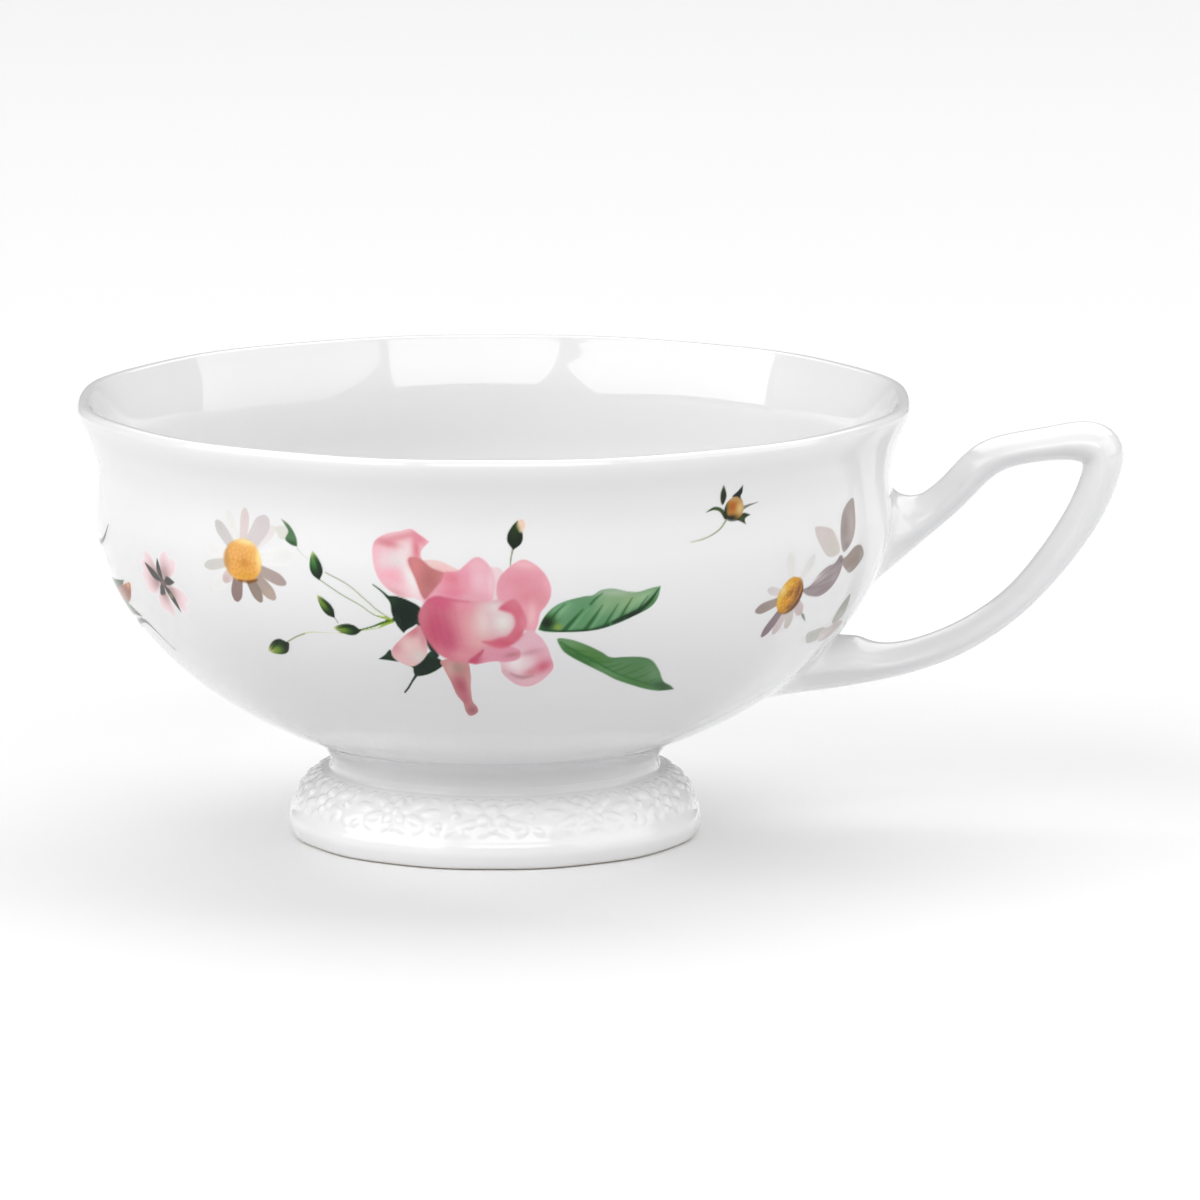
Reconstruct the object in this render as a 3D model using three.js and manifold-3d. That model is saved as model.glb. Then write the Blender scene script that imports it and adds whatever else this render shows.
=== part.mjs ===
// A footed porcelain teacup. Millimetres, +Z up, handle towards +X, standing on Z = 0.
// The clay pieces are a bowl, a pedestal foot and a strap handle, kept apart by the width of the
// slip line that joins them. Each flower print is a ceramic transfer, a thin skin on the bowl.

import * as THREE from 'three';
import { mergeVertices } from 'three/addons/utils/BufferGeometryUtils.js';
import Module from 'manifold-3d';

const wasm = await Module();
wasm.setup();

// ---- Plan: every round section is pressed into a soft-cornered figure of equal sides
const SIDES = 12;
const CORNER_CRISPNESS = 24; // higher makes the corner between two sides tighter
const COLUMNS = 72; // facets round each turned piece, a multiple of SIDES

// ---- Bowl
const RIM_ACROSS_FLATS = 105;
const CUP_HEIGHT = 56;
const LIP_THICKNESS = 1.7;
const WALL = 2.3;
const FLOOR = 3;
const BODY_INSET = 2.2; // rim to the widest section of the body, measured inwards
const SHOULDER_DEPTH = 13.4; // rim to the widest section of the body, measured down
const WAIST_INSET = 2.4; // rim to the narrowest section under the flared lip, inwards
const WAIST_DEPTH = 8.6;
const BODY_FULLNESS = 1.9; // power of the body's curve: 2 is an ellipse, less is leaner
const BODY_DIP = 1.5; // the body's curve, carried to the axis, passes this far below the joint
const ROOT_SPREAD = 4.6; // width of the hollow curve between the neck and the body
const INNER_ROUNDING = 0.35; // share of the twelve-sided plan left in the cup's inside

// ---- Pedestal foot
const FOOT_HEIGHT = 9.3;
const NECK_RADIUS = 20.9;
const FOOT_RADIUS = 26.3;
const STANDING_RING_OUTER = 25.2;
const STANDING_RING_INNER = 23.2;
const BEAD_HEIGHT = 3.7; // plain bead under the frieze
const FRIEZE_TOP = 8.4;
const GROOVE_DEPTH = 0.35; // shallow line between the bead and the frieze
const FOOT_WEB = 2.4; // clay left above the hollow under the foot

// ---- Handle
const HANDLE_REACH = 29.1; // body to the outermost point of the handle
const HANDLE_TOP_DROP = 3.7; // rim to the top of the handle
const LOWER_ROOT_INSET = 14.3; // widest section of the body to the lower root, inwards
const HANDLE_THICKNESS = 4;
const HANDLE_WIDTH = 6.8;
const RIDGE_POWER = 1.6; // section of the strap: 2 is an ellipse, less is more of a lozenge
const STRAP_SIDES = 12;
const STRAP_RINGS = 60;

// ---- Fits
const SLIP_GAP = 0.3; // between two clay pieces, filled by slip in the real cup
const FILM_GAP = 0.3; // between the bowl and a transfer
const FILM = 0.25; // thickness of a transfer

// ---- Derived sizes
const rimRadius = RIM_ACROSS_FLATS / 2;
const bodyRadius = rimRadius - BODY_INSET;
const shoulderHeight = CUP_HEIGHT - SHOULDER_DEPTH;
const jointHeight = FOOT_HEIGHT + SLIP_GAP; // underside of the bowl
const bodyDrop = shoulderHeight - (jointHeight - BODY_DIP);
const floorHeight = jointHeight + FLOOR;

const porcelain = { color: 0xf3f2ef, roughness: 0.12, metalness: 0 };

// How far the pressed plan reaches at an angle, before it is measured against a side's middle.
function softReach(angle) {
  let sum = 0;
  for (let side = 0; side < SIDES; side += 1) {
    const facing = Math.cos(angle - (side * 2 * Math.PI) / SIDES);
    if (facing > 0) sum += facing ** CORNER_CRISPNESS;
  }
  return sum ** (-1 / CORNER_CRISPNESS);
}

// The same as a multiple of the distance from the axis to a side's middle.
const sideMiddle = softReach(0);
const planReach = (angle) => softReach(angle) / sideMiddle;

// A turned piece. The profile holds [radius, height, share of the pressed plan] from the axis,
// outside first, and back to the axis, or goes once round a closed ring.
function turned(profile) {
  const points = profile.map(([radius, height]) => new THREE.Vector2(radius, height));
  const geometry = new THREE.LatheGeometry(points, COLUMNS);
  geometry.rotateX(Math.PI / 2);
  const position = geometry.getAttribute('position');
  for (let i = 0; i < position.count; i += 1) {
    const x = position.getX(i);
    const y = position.getY(i);
    const share = profile[i % profile.length][2];
    const press = 1 + share * (planReach(Math.atan2(y, x)) - 1);
    position.setXY(i, x * press, y * press);
  }
  return geometry;
}

function solidFrom(geometry) {
  const bare = geometry.clone();
  bare.deleteAttribute('normal');
  bare.deleteAttribute('uv');
  const merged = mergeVertices(bare, 1e-4);
  return new wasm.Manifold(new wasm.Mesh({
    numProp: 3,
    vertProperties: new Float32Array(merged.getAttribute('position').array),
    triVerts: new Uint32Array(merged.index.array),
  }));
}

function geometryFrom(solid) {
  const { vertProperties, triVerts } = solid.getMesh();
  const geometry = new THREE.BufferGeometry();
  geometry.setAttribute('position', new THREE.BufferAttribute(vertProperties, 3));
  geometry.setIndex(new THREE.BufferAttribute(triVerts, 1));
  return geometry;
}

// Height of a body-like curve at a radius: a superellipse hung from the shoulder.
function curveHeight(radius, widest, drop) {
  const across = (radius / widest) ** BODY_FULLNESS;
  return shoulderHeight - drop * (1 - across) ** (1 / BODY_FULLNESS);
}

function bodyHeight(radius) {
  return curveHeight(radius, bodyRadius, bodyDrop);
}

// The superellipse from a starting radius out to the shoulder, in even steps of its own angle.
function bodyCurve(fromRadius, widest, drop, steps) {
  const power = 2 / BODY_FULLNESS;
  const start = Math.acos((fromRadius / widest) ** (1 / power));
  const rows = [];
  for (let i = 0; i <= steps; i += 1) {
    const angle = start * (1 - i / steps);
    rows.push([
      widest * Math.cos(angle) ** power,
      shoulderHeight - drop * Math.sin(angle) ** power,
    ]);
  }
  return rows;
}

// The outside of the bowl from the neck up to just under the lip, as [radius, height].
function outsideRows() {
  const rootEnd = NECK_RADIUS + ROOT_SPREAD;
  const root = new THREE.QuadraticBezierCurve(
    new THREE.Vector2(NECK_RADIUS, jointHeight),
    new THREE.Vector2(NECK_RADIUS + 0.2, bodyHeight(rootEnd) - 1.3),
    new THREE.Vector2(rootEnd, bodyHeight(rootEnd)),
  );
  const flare = new THREE.SplineCurve([
    new THREE.Vector2(bodyRadius, shoulderHeight),
    new THREE.Vector2(rimRadius - WAIST_INSET, CUP_HEIGHT - WAIST_DEPTH),
    new THREE.Vector2(rimRadius - 1.6, CUP_HEIGHT - 5),
    new THREE.Vector2(rimRadius - 0.3, CUP_HEIGHT - 2),
    new THREE.Vector2(rimRadius, CUP_HEIGHT - 0.7),
  ]);
  return [
    ...root.getPoints(4).map((p) => [p.x, p.y]).slice(0, -1),
    ...bodyCurve(rootEnd, bodyRadius, bodyDrop, 11).slice(0, -1),
    ...flare.getPoints(6).map((p) => [p.x, p.y]),
  ];
}

// The inside of the bowl from the lip down to the floor, as [radius, height].
function insideRows() {
  const innerBody = bodyRadius - WALL;
  const innerDrop = shoulderHeight - floorHeight;
  const neckDown = new THREE.SplineCurve([
    new THREE.Vector2(rimRadius - LIP_THICKNESS, CUP_HEIGHT - 0.5),
    new THREE.Vector2(rimRadius - WAIST_INSET - 1.9, CUP_HEIGHT - WAIST_DEPTH + 2),
    new THREE.Vector2(innerBody, shoulderHeight),
  ]);
  const curve = bodyCurve(0, innerBody, innerDrop, 10).reverse();
  return [...neckDown.getPoints(4).map((p) => [p.x, p.y]), ...curve.slice(1)];
}

// Moves a run of rows outwards, square to itself.
function outset(rows, distance) {
  return rows.map(([radius, height], i) => {
    const [r0, h0] = rows[Math.max(i - 1, 0)];
    const [r1, h1] = rows[Math.min(i + 1, rows.length - 1)];
    const length = Math.hypot(r1 - r0, h1 - h0);
    return [radius + (distance * (h1 - h0)) / length, height - (distance * (r1 - r0)) / length];
  });
}

const pressed = ([radius, height]) => [radius, height, 1];

function bowl() {
  const outside = outsideRows().map(pressed);
  const lip = [
    [rimRadius - 0.35, CUP_HEIGHT - 0.12, 1],
    [rimRadius - LIP_THICKNESS / 2, CUP_HEIGHT, 1],
  ];
  const depth = CUP_HEIGHT - shoulderHeight;
  const inside = insideRows().map(([radius, height]) => {
    const down = Math.min((CUP_HEIGHT - height) / depth, 1);
    return [radius, height, 1 + down * (INNER_ROUNDING - 1)];
  });
  return turned([[0, jointHeight, 1], ...outside, ...lip, ...inside]);
}

function pedestalFoot() {
  const ceiling = FOOT_HEIGHT - FOOT_WEB;
  const frieze = new THREE.SplineCurve([
    new THREE.Vector2(FOOT_RADIUS - 0.5, BEAD_HEIGHT + 0.5),
    new THREE.Vector2(FOOT_RADIUS - 1.3, BEAD_HEIGHT + 1.9),
    new THREE.Vector2(FOOT_RADIUS - 3.1, FRIEZE_TOP - 1),
    new THREE.Vector2(NECK_RADIUS + 0.5, FRIEZE_TOP),
  ]);
  const outside = [
    [STANDING_RING_OUTER, 0],
    [FOOT_RADIUS - 0.4, 0.5],
    [FOOT_RADIUS, 1.5],
    [FOOT_RADIUS, 2.6],
    [FOOT_RADIUS - 0.3, BEAD_HEIGHT - 0.3],
    [FOOT_RADIUS - 0.5 - GROOVE_DEPTH, BEAD_HEIGHT],
    ...frieze.getPoints(6).map((p) => [p.x, p.y]),
    [NECK_RADIUS, FRIEZE_TOP + 0.3],
    [NECK_RADIUS, FOOT_HEIGHT],
  ];
  const hollow = [
    [STANDING_RING_INNER - 1.2, ceiling * 0.55],
    [STANDING_RING_INNER - 3.6, ceiling - 0.6],
    [STANDING_RING_INNER - 6.5, ceiling],
  ];
  // The hollow underneath stays round; the standing ring and the outside follow the plan.
  return turned([
    [0, ceiling, 0],
    ...hollow.map(([radius, height]) => [radius, height, 0]).reverse(),
    [STANDING_RING_INNER, 0, 1],
    ...outside.map(pressed),
    [0, FOOT_HEIGHT, 1],
  ]);
}

// The strap's middle line and sizes, from inside the bowl at the upper root, round, and back in at
// the lower root: [out, up, thickness, width]. Out is a share of the reach beyond the body, up a
// share of the way from the lower root to the top, and the sizes are shares of the strap's own.
const STRAP = [
  [-0.36, 0.495, 2.4, 2.2],
  [-0.15, 0.545, 2.4, 2.1],
  [-0.01, 0.578, 2.15, 1.75],
  [0.073, 0.618, 1.5, 1.3],
  [0.142, 0.65, 1.22, 1.1],
  [0.239, 0.717, 1.12, 1],
  [0.334, 0.806, 1.12, 0.97],
  [0.403, 0.862, 1.14, 0.97],
  [0.502, 0.896, 1.06, 0.97],
  [0.682, 0.923, 1.08, 0.97],
  [0.82, 0.932, 1.3, 1],
  [0.905, 0.903, 1.48, 1.03],
  [0.905, 0.821, 1.2, 1.03],
  [0.863, 0.711, 1.15, 1],
  [0.794, 0.597, 1.1, 0.97],
  [0.682, 0.457, 1.02, 0.97],
  [0.547, 0.322, 0.95, 0.97],
  [0.402, 0.221, 0.96, 1],
  [0.24, 0.142, 1, 1.03],
  [0.059, 0.088, 1.04, 1.09],
  [-0.08, 0.071, 1.25, 1.25],
  [-0.2, 0.079, 1.75, 1.6],
  [-0.34, 0.068, 1.85, 2],
  [-0.495, 0.036, 1.75, 2.2],
  [-0.668, 0, 1.5, 2.2],
];

// A capped tube of unit size, bent along the strap's middle line and swollen to its sizes.
function strap() {
  const low = bodyHeight(bodyRadius - LOWER_ROOT_INSET);
  const top = CUP_HEIGHT - HANDLE_TOP_DROP;
  const line = new THREE.CatmullRomCurve3(STRAP.map(([out, up]) => new THREE.Vector3(
    bodyRadius + out * HANDLE_REACH,
    0,
    low + up * (top - low),
  )), false, 'catmullrom', 0.5);
  const sizes = new THREE.SplineCurve(STRAP.map(([, , thickness, width]) => new THREE.Vector2(
    thickness * HANDLE_THICKNESS,
    width * HANDLE_WIDTH,
  )));
  const geometry = new THREE.CylinderGeometry(1, 1, 1, STRAP_SIDES, STRAP_RINGS);
  const position = geometry.getAttribute('position');
  for (let i = 0; i < position.count; i += 1) {
    const along = position.getY(i) + 0.5;
    const across = position.getX(i);
    const sideways = position.getZ(i);
    const lozenge = Math.abs(across) ** RIDGE_POWER + Math.abs(sideways) ** RIDGE_POWER;
    const trim = lozenge > 0 ? lozenge ** (-1 / RIDGE_POWER) : 1;
    const centre = line.getPoint(along);
    const tangent = line.getTangent(along);
    const size = sizes.getPoint(along);
    const lift = (across * trim * size.x) / 2;
    position.setXYZ(
      i,
      centre.x - tangent.z * lift,
      (sideways * trim * size.y) / 2,
      centre.z + tangent.x * lift,
    );
  }
  return geometry;
}

// The bowl's outside, grown by a gap and filled in to the axis.
function bowlEnvelope(gap) {
  const rows = outset(outsideRows(), gap);
  const [, underside] = rows[0];
  const [lastRadius] = rows.at(-1);
  return turned([
    [0, underside - gap, 1],
    ...rows.map(pressed),
    [lastRadius, CUP_HEIGHT + gap, 1],
    [0, CUP_HEIGHT + gap, 1],
  ]);
}

function handle() {
  return geometryFrom(solidFrom(strap()).subtract(solidFrom(bowlEnvelope(SLIP_GAP))));
}

// ---- Transfers: [name, bearing in degrees from the front towards the handle, colour, outline].
// An outline runs round the print as [across, height], seen square on from outside. The prints are
// drawn for one size of bowl and follow the bowl when it grows or shrinks.
const DRAWN_BODY_RADIUS = 50.3;
const DRAWN_JOINT_HEIGHT = 9.6;
const DRAWN_BOWL_HEIGHT = 46.4;
const oval = (across, height, halfWidth, halfHeight) => {
  const curve = new THREE.EllipseCurve(across, height, halfWidth, halfHeight);
  return curve.getPoints(20).slice(0, -1).map((p) => [p.x, p.y]);
};

const ROSE_SPRAY = [
  [-29.5, 30], [-19, 29], [-12, 24.5], [-4, 21.5], [0.5, 22.5], [4, 27.5], [10, 28.5],
  [17, 24.5], [24, 23.5], [24.5, 27.5], [18, 34], [22.5, 38], [22, 41.5], [12, 42.5], [7, 44],
  [5, 50.4], [1.5, 50.4], [0, 45.5], [-8, 49.5], [-16, 49], [-16, 43], [-20.4, 44.2], [-22, 40.5],
  [-21, 36], [-29, 32.5],
];
const DAISY_SPRIG = [
  [-12.5, 36], [-9.5, 30], [-2, 31], [0, 27.5], [5, 25.5], [9, 30], [11.5, 38], [10.5, 43],
  [6.5, 47.5], [1, 46], [0, 41], [-8, 41],
];
const SIDE_SPRAY = [
  [-11.5, 29], [-5, 24.5], [3, 25], [9, 29.5], [12.5, 36], [13, 43], [7, 44.5], [1, 41],
  [-6, 43.5], [-11, 38],
];
const GREEN_BUD = [[-6, 43.8], [-1, 44.5], [4.5, 46], [5.2, 50], [0, 51.7], [-4, 48.5]];
const BACK_SPRAY = [
  [-19, 33], [-12, 28], [-3, 24.5], [4, 26.5], [13, 26], [20, 31], [18.5, 38], [11, 41],
  [6, 46.5], [-3, 47.5], [-10, 44], [-17, 40],
];
const LEAF_GREEN = 0x5e8c5c;
const ROSE_PINK = 0xe79aa4;
const PETAL_GREY = 0xd9d2cf;

const TRANSFERS = [
  ['rose_spray_transfer', 0, ROSE_PINK, ROSE_SPRAY],
  ['daisy_transfer', -36, PETAL_GREY, oval(0.6, 42.6, 7.4, 6.4)],
  ['pink_blossom_transfer', -54.5, ROSE_PINK, oval(0, 37.4, 5, 4.8)],
  ['side_spray_transfer', -86, LEAF_GREEN, SIDE_SPRAY],
  ['green_bud_transfer', 34.5, LEAF_GREEN, GREEN_BUD],
  ['daisy_sprig_transfer', 55, PETAL_GREY, DAISY_SPRIG],
  ['back_daisy_transfer', 124, PETAL_GREY, oval(0, 42.6, 6.6, 6.2)],
  ['back_rosebud_transfer', 174, ROSE_PINK, BACK_SPRAY],
  ['back_bud_transfer', -142, LEAF_GREEN, oval(0, 43, 5.4, 6)],
  ['back_blossom_transfer', -118, ROSE_PINK, oval(0, 36, 5, 4.8)],
];

// The shell that every transfer is cut from: two skins of the bowl, a film's thickness apart.
function filmShell() {
  const under = outset(outsideRows(), FILM_GAP).slice(3);
  const over = outset(outsideRows(), FILM_GAP + FILM).slice(3);
  const ring = [...over, ...under.reverse(), over[0]];
  return solidFrom(turned(ring.map(pressed)));
}

// A prism through the outline, standing off the bowl and pointing at the axis.
function cutter(bearing, outline) {
  const reach = rimRadius * 1.3;
  const wider = bodyRadius / DRAWN_BODY_RADIUS;
  const taller = (CUP_HEIGHT - jointHeight) / DRAWN_BOWL_HEIGHT;
  const closed = [...outline, outline[0]].map(([across, height]) => new THREE.Vector2(
    across * wider,
    jointHeight + (height - DRAWN_JOINT_HEIGHT) * taller,
  ));
  const geometry = new THREE.ExtrudeGeometry(new THREE.Shape(closed), {
    depth: reach,
    bevelEnabled: false,
  });
  geometry.rotateX(Math.PI / 2);
  geometry.rotateZ(THREE.MathUtils.degToRad(bearing));
  return solidFrom(geometry);
}

const cup = new THREE.Group();

function add(name, geometry, look) {
  const mesh = new THREE.Mesh(geometry, new THREE.MeshStandardMaterial(look));
  mesh.name = name;
  cup.add(mesh);
}

add('bowl', bowl(), porcelain);
add('pedestal_foot', pedestalFoot(), porcelain);
add('handle', handle(), porcelain);

const shell = filmShell();
for (const [name, bearing, color, outline] of TRANSFERS) {
  const film = shell.intersect(cutter(bearing, outline));
  add(name, geometryFrom(film), { color, roughness: 0.15, metalness: 0 });
}

// The origin is under the middle of the whole cup, handle included.
const box = new THREE.Box3().setFromObject(cup);
cup.position.x = -(box.min.x + box.max.x) / 2;

export default cup;
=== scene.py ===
"""Looks for a footed porcelain teacup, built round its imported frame.

The clay pieces are turned, swept and modelled in relief. Each flower print is painted flat, in
millimetres, and then laid over the bowl as a thin film of enamel. Lengths are in metres elsewhere.
"""

import math

import bmesh
import bpy
import numpy as np
from bpy.props import FloatProperty, FloatVectorProperty, IntProperty, PointerProperty
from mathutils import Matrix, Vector


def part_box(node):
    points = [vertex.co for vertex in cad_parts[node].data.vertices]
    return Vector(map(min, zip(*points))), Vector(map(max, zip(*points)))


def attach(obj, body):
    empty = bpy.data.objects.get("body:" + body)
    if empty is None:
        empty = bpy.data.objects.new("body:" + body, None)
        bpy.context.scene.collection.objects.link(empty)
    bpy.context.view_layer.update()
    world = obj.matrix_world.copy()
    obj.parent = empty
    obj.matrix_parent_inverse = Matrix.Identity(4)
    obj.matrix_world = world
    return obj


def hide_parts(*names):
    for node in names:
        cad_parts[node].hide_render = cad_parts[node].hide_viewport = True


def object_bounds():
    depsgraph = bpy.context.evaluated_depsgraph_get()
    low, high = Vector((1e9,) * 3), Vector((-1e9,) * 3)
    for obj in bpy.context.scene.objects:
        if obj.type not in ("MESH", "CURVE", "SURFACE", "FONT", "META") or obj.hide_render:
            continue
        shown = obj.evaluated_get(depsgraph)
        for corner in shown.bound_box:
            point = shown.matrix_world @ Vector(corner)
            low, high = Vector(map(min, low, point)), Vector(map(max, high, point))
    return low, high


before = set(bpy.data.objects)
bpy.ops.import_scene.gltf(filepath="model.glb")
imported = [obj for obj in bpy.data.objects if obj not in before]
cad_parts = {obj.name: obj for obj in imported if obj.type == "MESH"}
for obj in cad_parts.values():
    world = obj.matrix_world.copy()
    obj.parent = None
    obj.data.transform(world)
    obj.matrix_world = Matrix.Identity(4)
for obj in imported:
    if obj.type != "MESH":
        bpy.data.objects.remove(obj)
CAD_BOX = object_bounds()

bl_info = {
    "name": "Footed Porcelain Teacup",
    "version": (1, 0, 0),
    "blender": (4, 5, 0),
    "location": "3D View > Sidebar > Teacup",
    "description": "Builds a glazed teacup with a relief foot and flower prints",
    "category": "Add Mesh",
}

MM = 0.001
BODY = "root"

# ---- Where the frame's pieces lie
BOWL_LOW, BOWL_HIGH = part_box("bowl")
FOOT_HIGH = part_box("pedestal_foot")[1]
AXIS_X = (BOWL_LOW.x + BOWL_HIGH.x) / 2

# ---- Plan: every round section is pressed into a soft-cornered figure of twelve sides
SIDES = 12
CORNER_CRISPNESS = 24


def plan_reach(angle):
    """How far the pressed plan reaches at an angle, over the distance to a side's middle."""
    total = np.zeros_like(angle, dtype=float)
    for side in range(SIDES):
        facing = np.cos(angle - side * math.tau / SIDES)
        total += np.maximum(facing, 0) ** CORNER_CRISPNESS
    return total ** (-1 / CORNER_CRISPNESS)


RIM_RADIUS = (BOWL_HIGH.y - BOWL_LOW.y) / 2 / float(plan_reach(np.array(math.pi / 2)))


# ---------------------------------------------------------------- sizes and colours


def length(name, description, default):
    """A size in metres that a user can change."""
    return FloatProperty(
        name=name, description=description, default=default, min=0, precision=5, unit="LENGTH"
    )


def share(name, description, default):
    """A plain number from 0 to 1."""
    return FloatProperty(
        name=name, description=description, default=default, min=0, max=1, subtype="FACTOR"
    )


def tint(name, description, default):
    """A colour, as red, green and blue from 0 to 1 on a linear scale."""
    return FloatVectorProperty(
        name=name, description=description, default=default, min=0, max=1, subtype="COLOR"
    )


class CupSizes(bpy.types.PropertyGroup):
    """Sizes of the clay pieces."""

    rim_radius: length("Rim radius", "Axis to the middle of a side at the lip", RIM_RADIUS)
    height: length("Height", "Table to the lip", BOWL_HIGH.z)
    joint: length("Joint height", "Table to the underside of the bowl", BOWL_LOW.z)
    lip: length("Lip", "Thickness of the clay at the lip", 1.7 * MM)
    wall: length("Wall", "Thickness of the bowl's wall", 2.3 * MM)
    floor: length("Floor", "Thickness of the clay under the tea", 3 * MM)
    body_inset: length("Body inset", "Rim to the widest section, inwards", 2.2 * MM)
    shoulder_depth: length("Shoulder depth", "Rim down to the widest section", 13.4 * MM)
    waist_inset: length("Waist inset", "Rim to the waist under the lip, inwards", 2.4 * MM)
    waist_depth: length("Waist depth", "Rim down to the waist under the lip", 8.6 * MM)
    body_dip: length("Body dip", "How far the body's curve would pass below the joint", 1.5 * MM)
    root_spread: length("Root spread", "Width of the hollow between neck and body", 4.6 * MM)
    neck_radius: length("Neck radius", "Axis to the middle of a side at the neck", 20.9 * MM)
    foot_radius: length("Foot radius", "Axis to the middle of a side at the bead", FOOT_HIGH.y)
    ring_outer: length("Ring outside", "Outer radius of the standing ring", 25.2 * MM)
    ring_inner: length("Ring inside", "Inner radius of the standing ring", 23.2 * MM)
    bead: length("Bead height", "Table to the line under the frieze", 3.7 * MM)
    frieze: length("Frieze top", "Table to the line over the frieze", 8.4 * MM)
    relief: length("Relief", "Height of the fruit and leaves in the frieze", 0.4 * MM)
    strap_thickness: length("Strap thickness", "Handle, seen from the side", 4 * MM)
    strap_width: length("Strap width", "Handle, seen from its outer side", 6.8 * MM)
    columns: IntProperty(name="Columns", description="Facets round the bowl", default=288)


class CupColours(bpy.types.PropertyGroup):
    """Colours and gloss of the glaze."""

    # Lit and shaded copies of the glaze: the first is used where a face turns up, the second is
    # painted shade where a face turns down
    glaze: tint("Glaze", "The glaze where it lies thin, facing up", (0.9, 0.898, 0.902))
    pool: tint("Pooled glaze", "The glaze where it lies thick, facing down", (0.68, 0.68, 0.69))
    # Lit and shaded copies of the foot's glaze: the first is painted light where a face turns up,
    # brighter to offset the shade in the relief; the second is painted shade round the bead
    foot_lit_glaze: tint("Foot glaze", "The thin glaze over the relief", (0.96, 0.957, 0.96))
    foot_shaded_glaze: tint("Foot pooled glaze", "The glaze round the bead", (0.8, 0.798, 0.804))
    biscuit: tint("Biscuit", "Bare fired clay on the standing ring", (0.72, 0.69, 0.64))
    gloss: share("Roughness", "Roughness of the fired glaze", 0.06)
    coat: share("Coat", "Clear layer over the plain glaze", 0.8)
    sheen: share("Sheen", "Light that the gloss adds, taken off the enamel", 0.035)
    grain: share("Print grain", "How far the enamel varies from spot to spot", 0.05)


class StageLook(bpy.types.PropertyGroup):
    """Floor, light and camera."""

    floor: tint("Floor", "The plain floor", (0.96, 0.96, 0.96))
    sky: tint("Surroundings", "The plain room near the floor", (1.0, 1.0, 1.0))
    distance: length("Camera distance", "Camera to the cup", 1.165)
    elevation: FloatProperty(
        name="Camera elevation",
        description="Camera above the horizon",
        default=math.radians(10.06),
        subtype="ANGLE",
    )
    lens: FloatProperty(name="Lens", description="Focal length", default=275.9, unit="CAMERA")


# ---------------------------------------------------------------- curves


def smooth_curve(points, steps, closed=False):
    """A curve through the points, with a sharp corner where a point is given twice."""
    p = np.asarray(points, float)
    before, after = np.roll(p, 1, axis=0), np.roll(p, -1, axis=0)
    twice = np.all(p == before, axis=1) | np.all(p == after, axis=1)
    if not closed:
        before[0], after[-1] = p[0], p[-1]
    pull = (after - before) / 2
    pull[twice] = 0
    start, end, leave, arrive = p, np.roll(p, -1, axis=0), pull, np.roll(pull, -1, axis=0)
    if not closed:
        start, end, leave, arrive = start[:-1], end[:-1], leave[:-1], arrive[:-1]
    t = (np.arange(steps) / steps)[None, :, None]
    curve = (2 * t**3 - 3 * t**2 + 1) * start[:, None] + (t**3 - 2 * t**2 + t) * leave[:, None]
    curve = curve + (3 * t**2 - 2 * t**3) * end[:, None] + (t**3 - t**2) * arrive[:, None]
    flat = curve.reshape(-1, p.shape[1])
    return flat if closed else np.concatenate([flat, p[-1:]])


def along(points):
    """The distance from the first point, at each point of a line."""
    steps = np.linalg.norm(np.diff(points, axis=0), axis=1)
    return np.concatenate([[0], np.cumsum(steps)])


def even(points, step):
    """The same line with points a step apart."""
    travelled = along(points)
    count = max(int(round(travelled[-1] / step)), 2)
    where = np.linspace(0, travelled[-1], count + 1)
    return np.stack([np.interp(where, travelled, column) for column in points.T], axis=1)


def eased(points, step, passes):
    """An even line whose bends are softened, with its two ends kept."""
    line = even(points, step)
    for _ in range(passes):
        line[1:-1] = line[1:-1] / 2 + (line[:-2] + line[2:]) / 4
    return line


def smoothstep(low, high, value):
    """Eases from 0 at one value to 1 at another, and the other way where low is above high."""
    t = np.clip((value - low) / (high - low), 0, 1)
    return t * t * (3 - 2 * t)


# ---------------------------------------------------------------- the cup's shape


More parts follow.
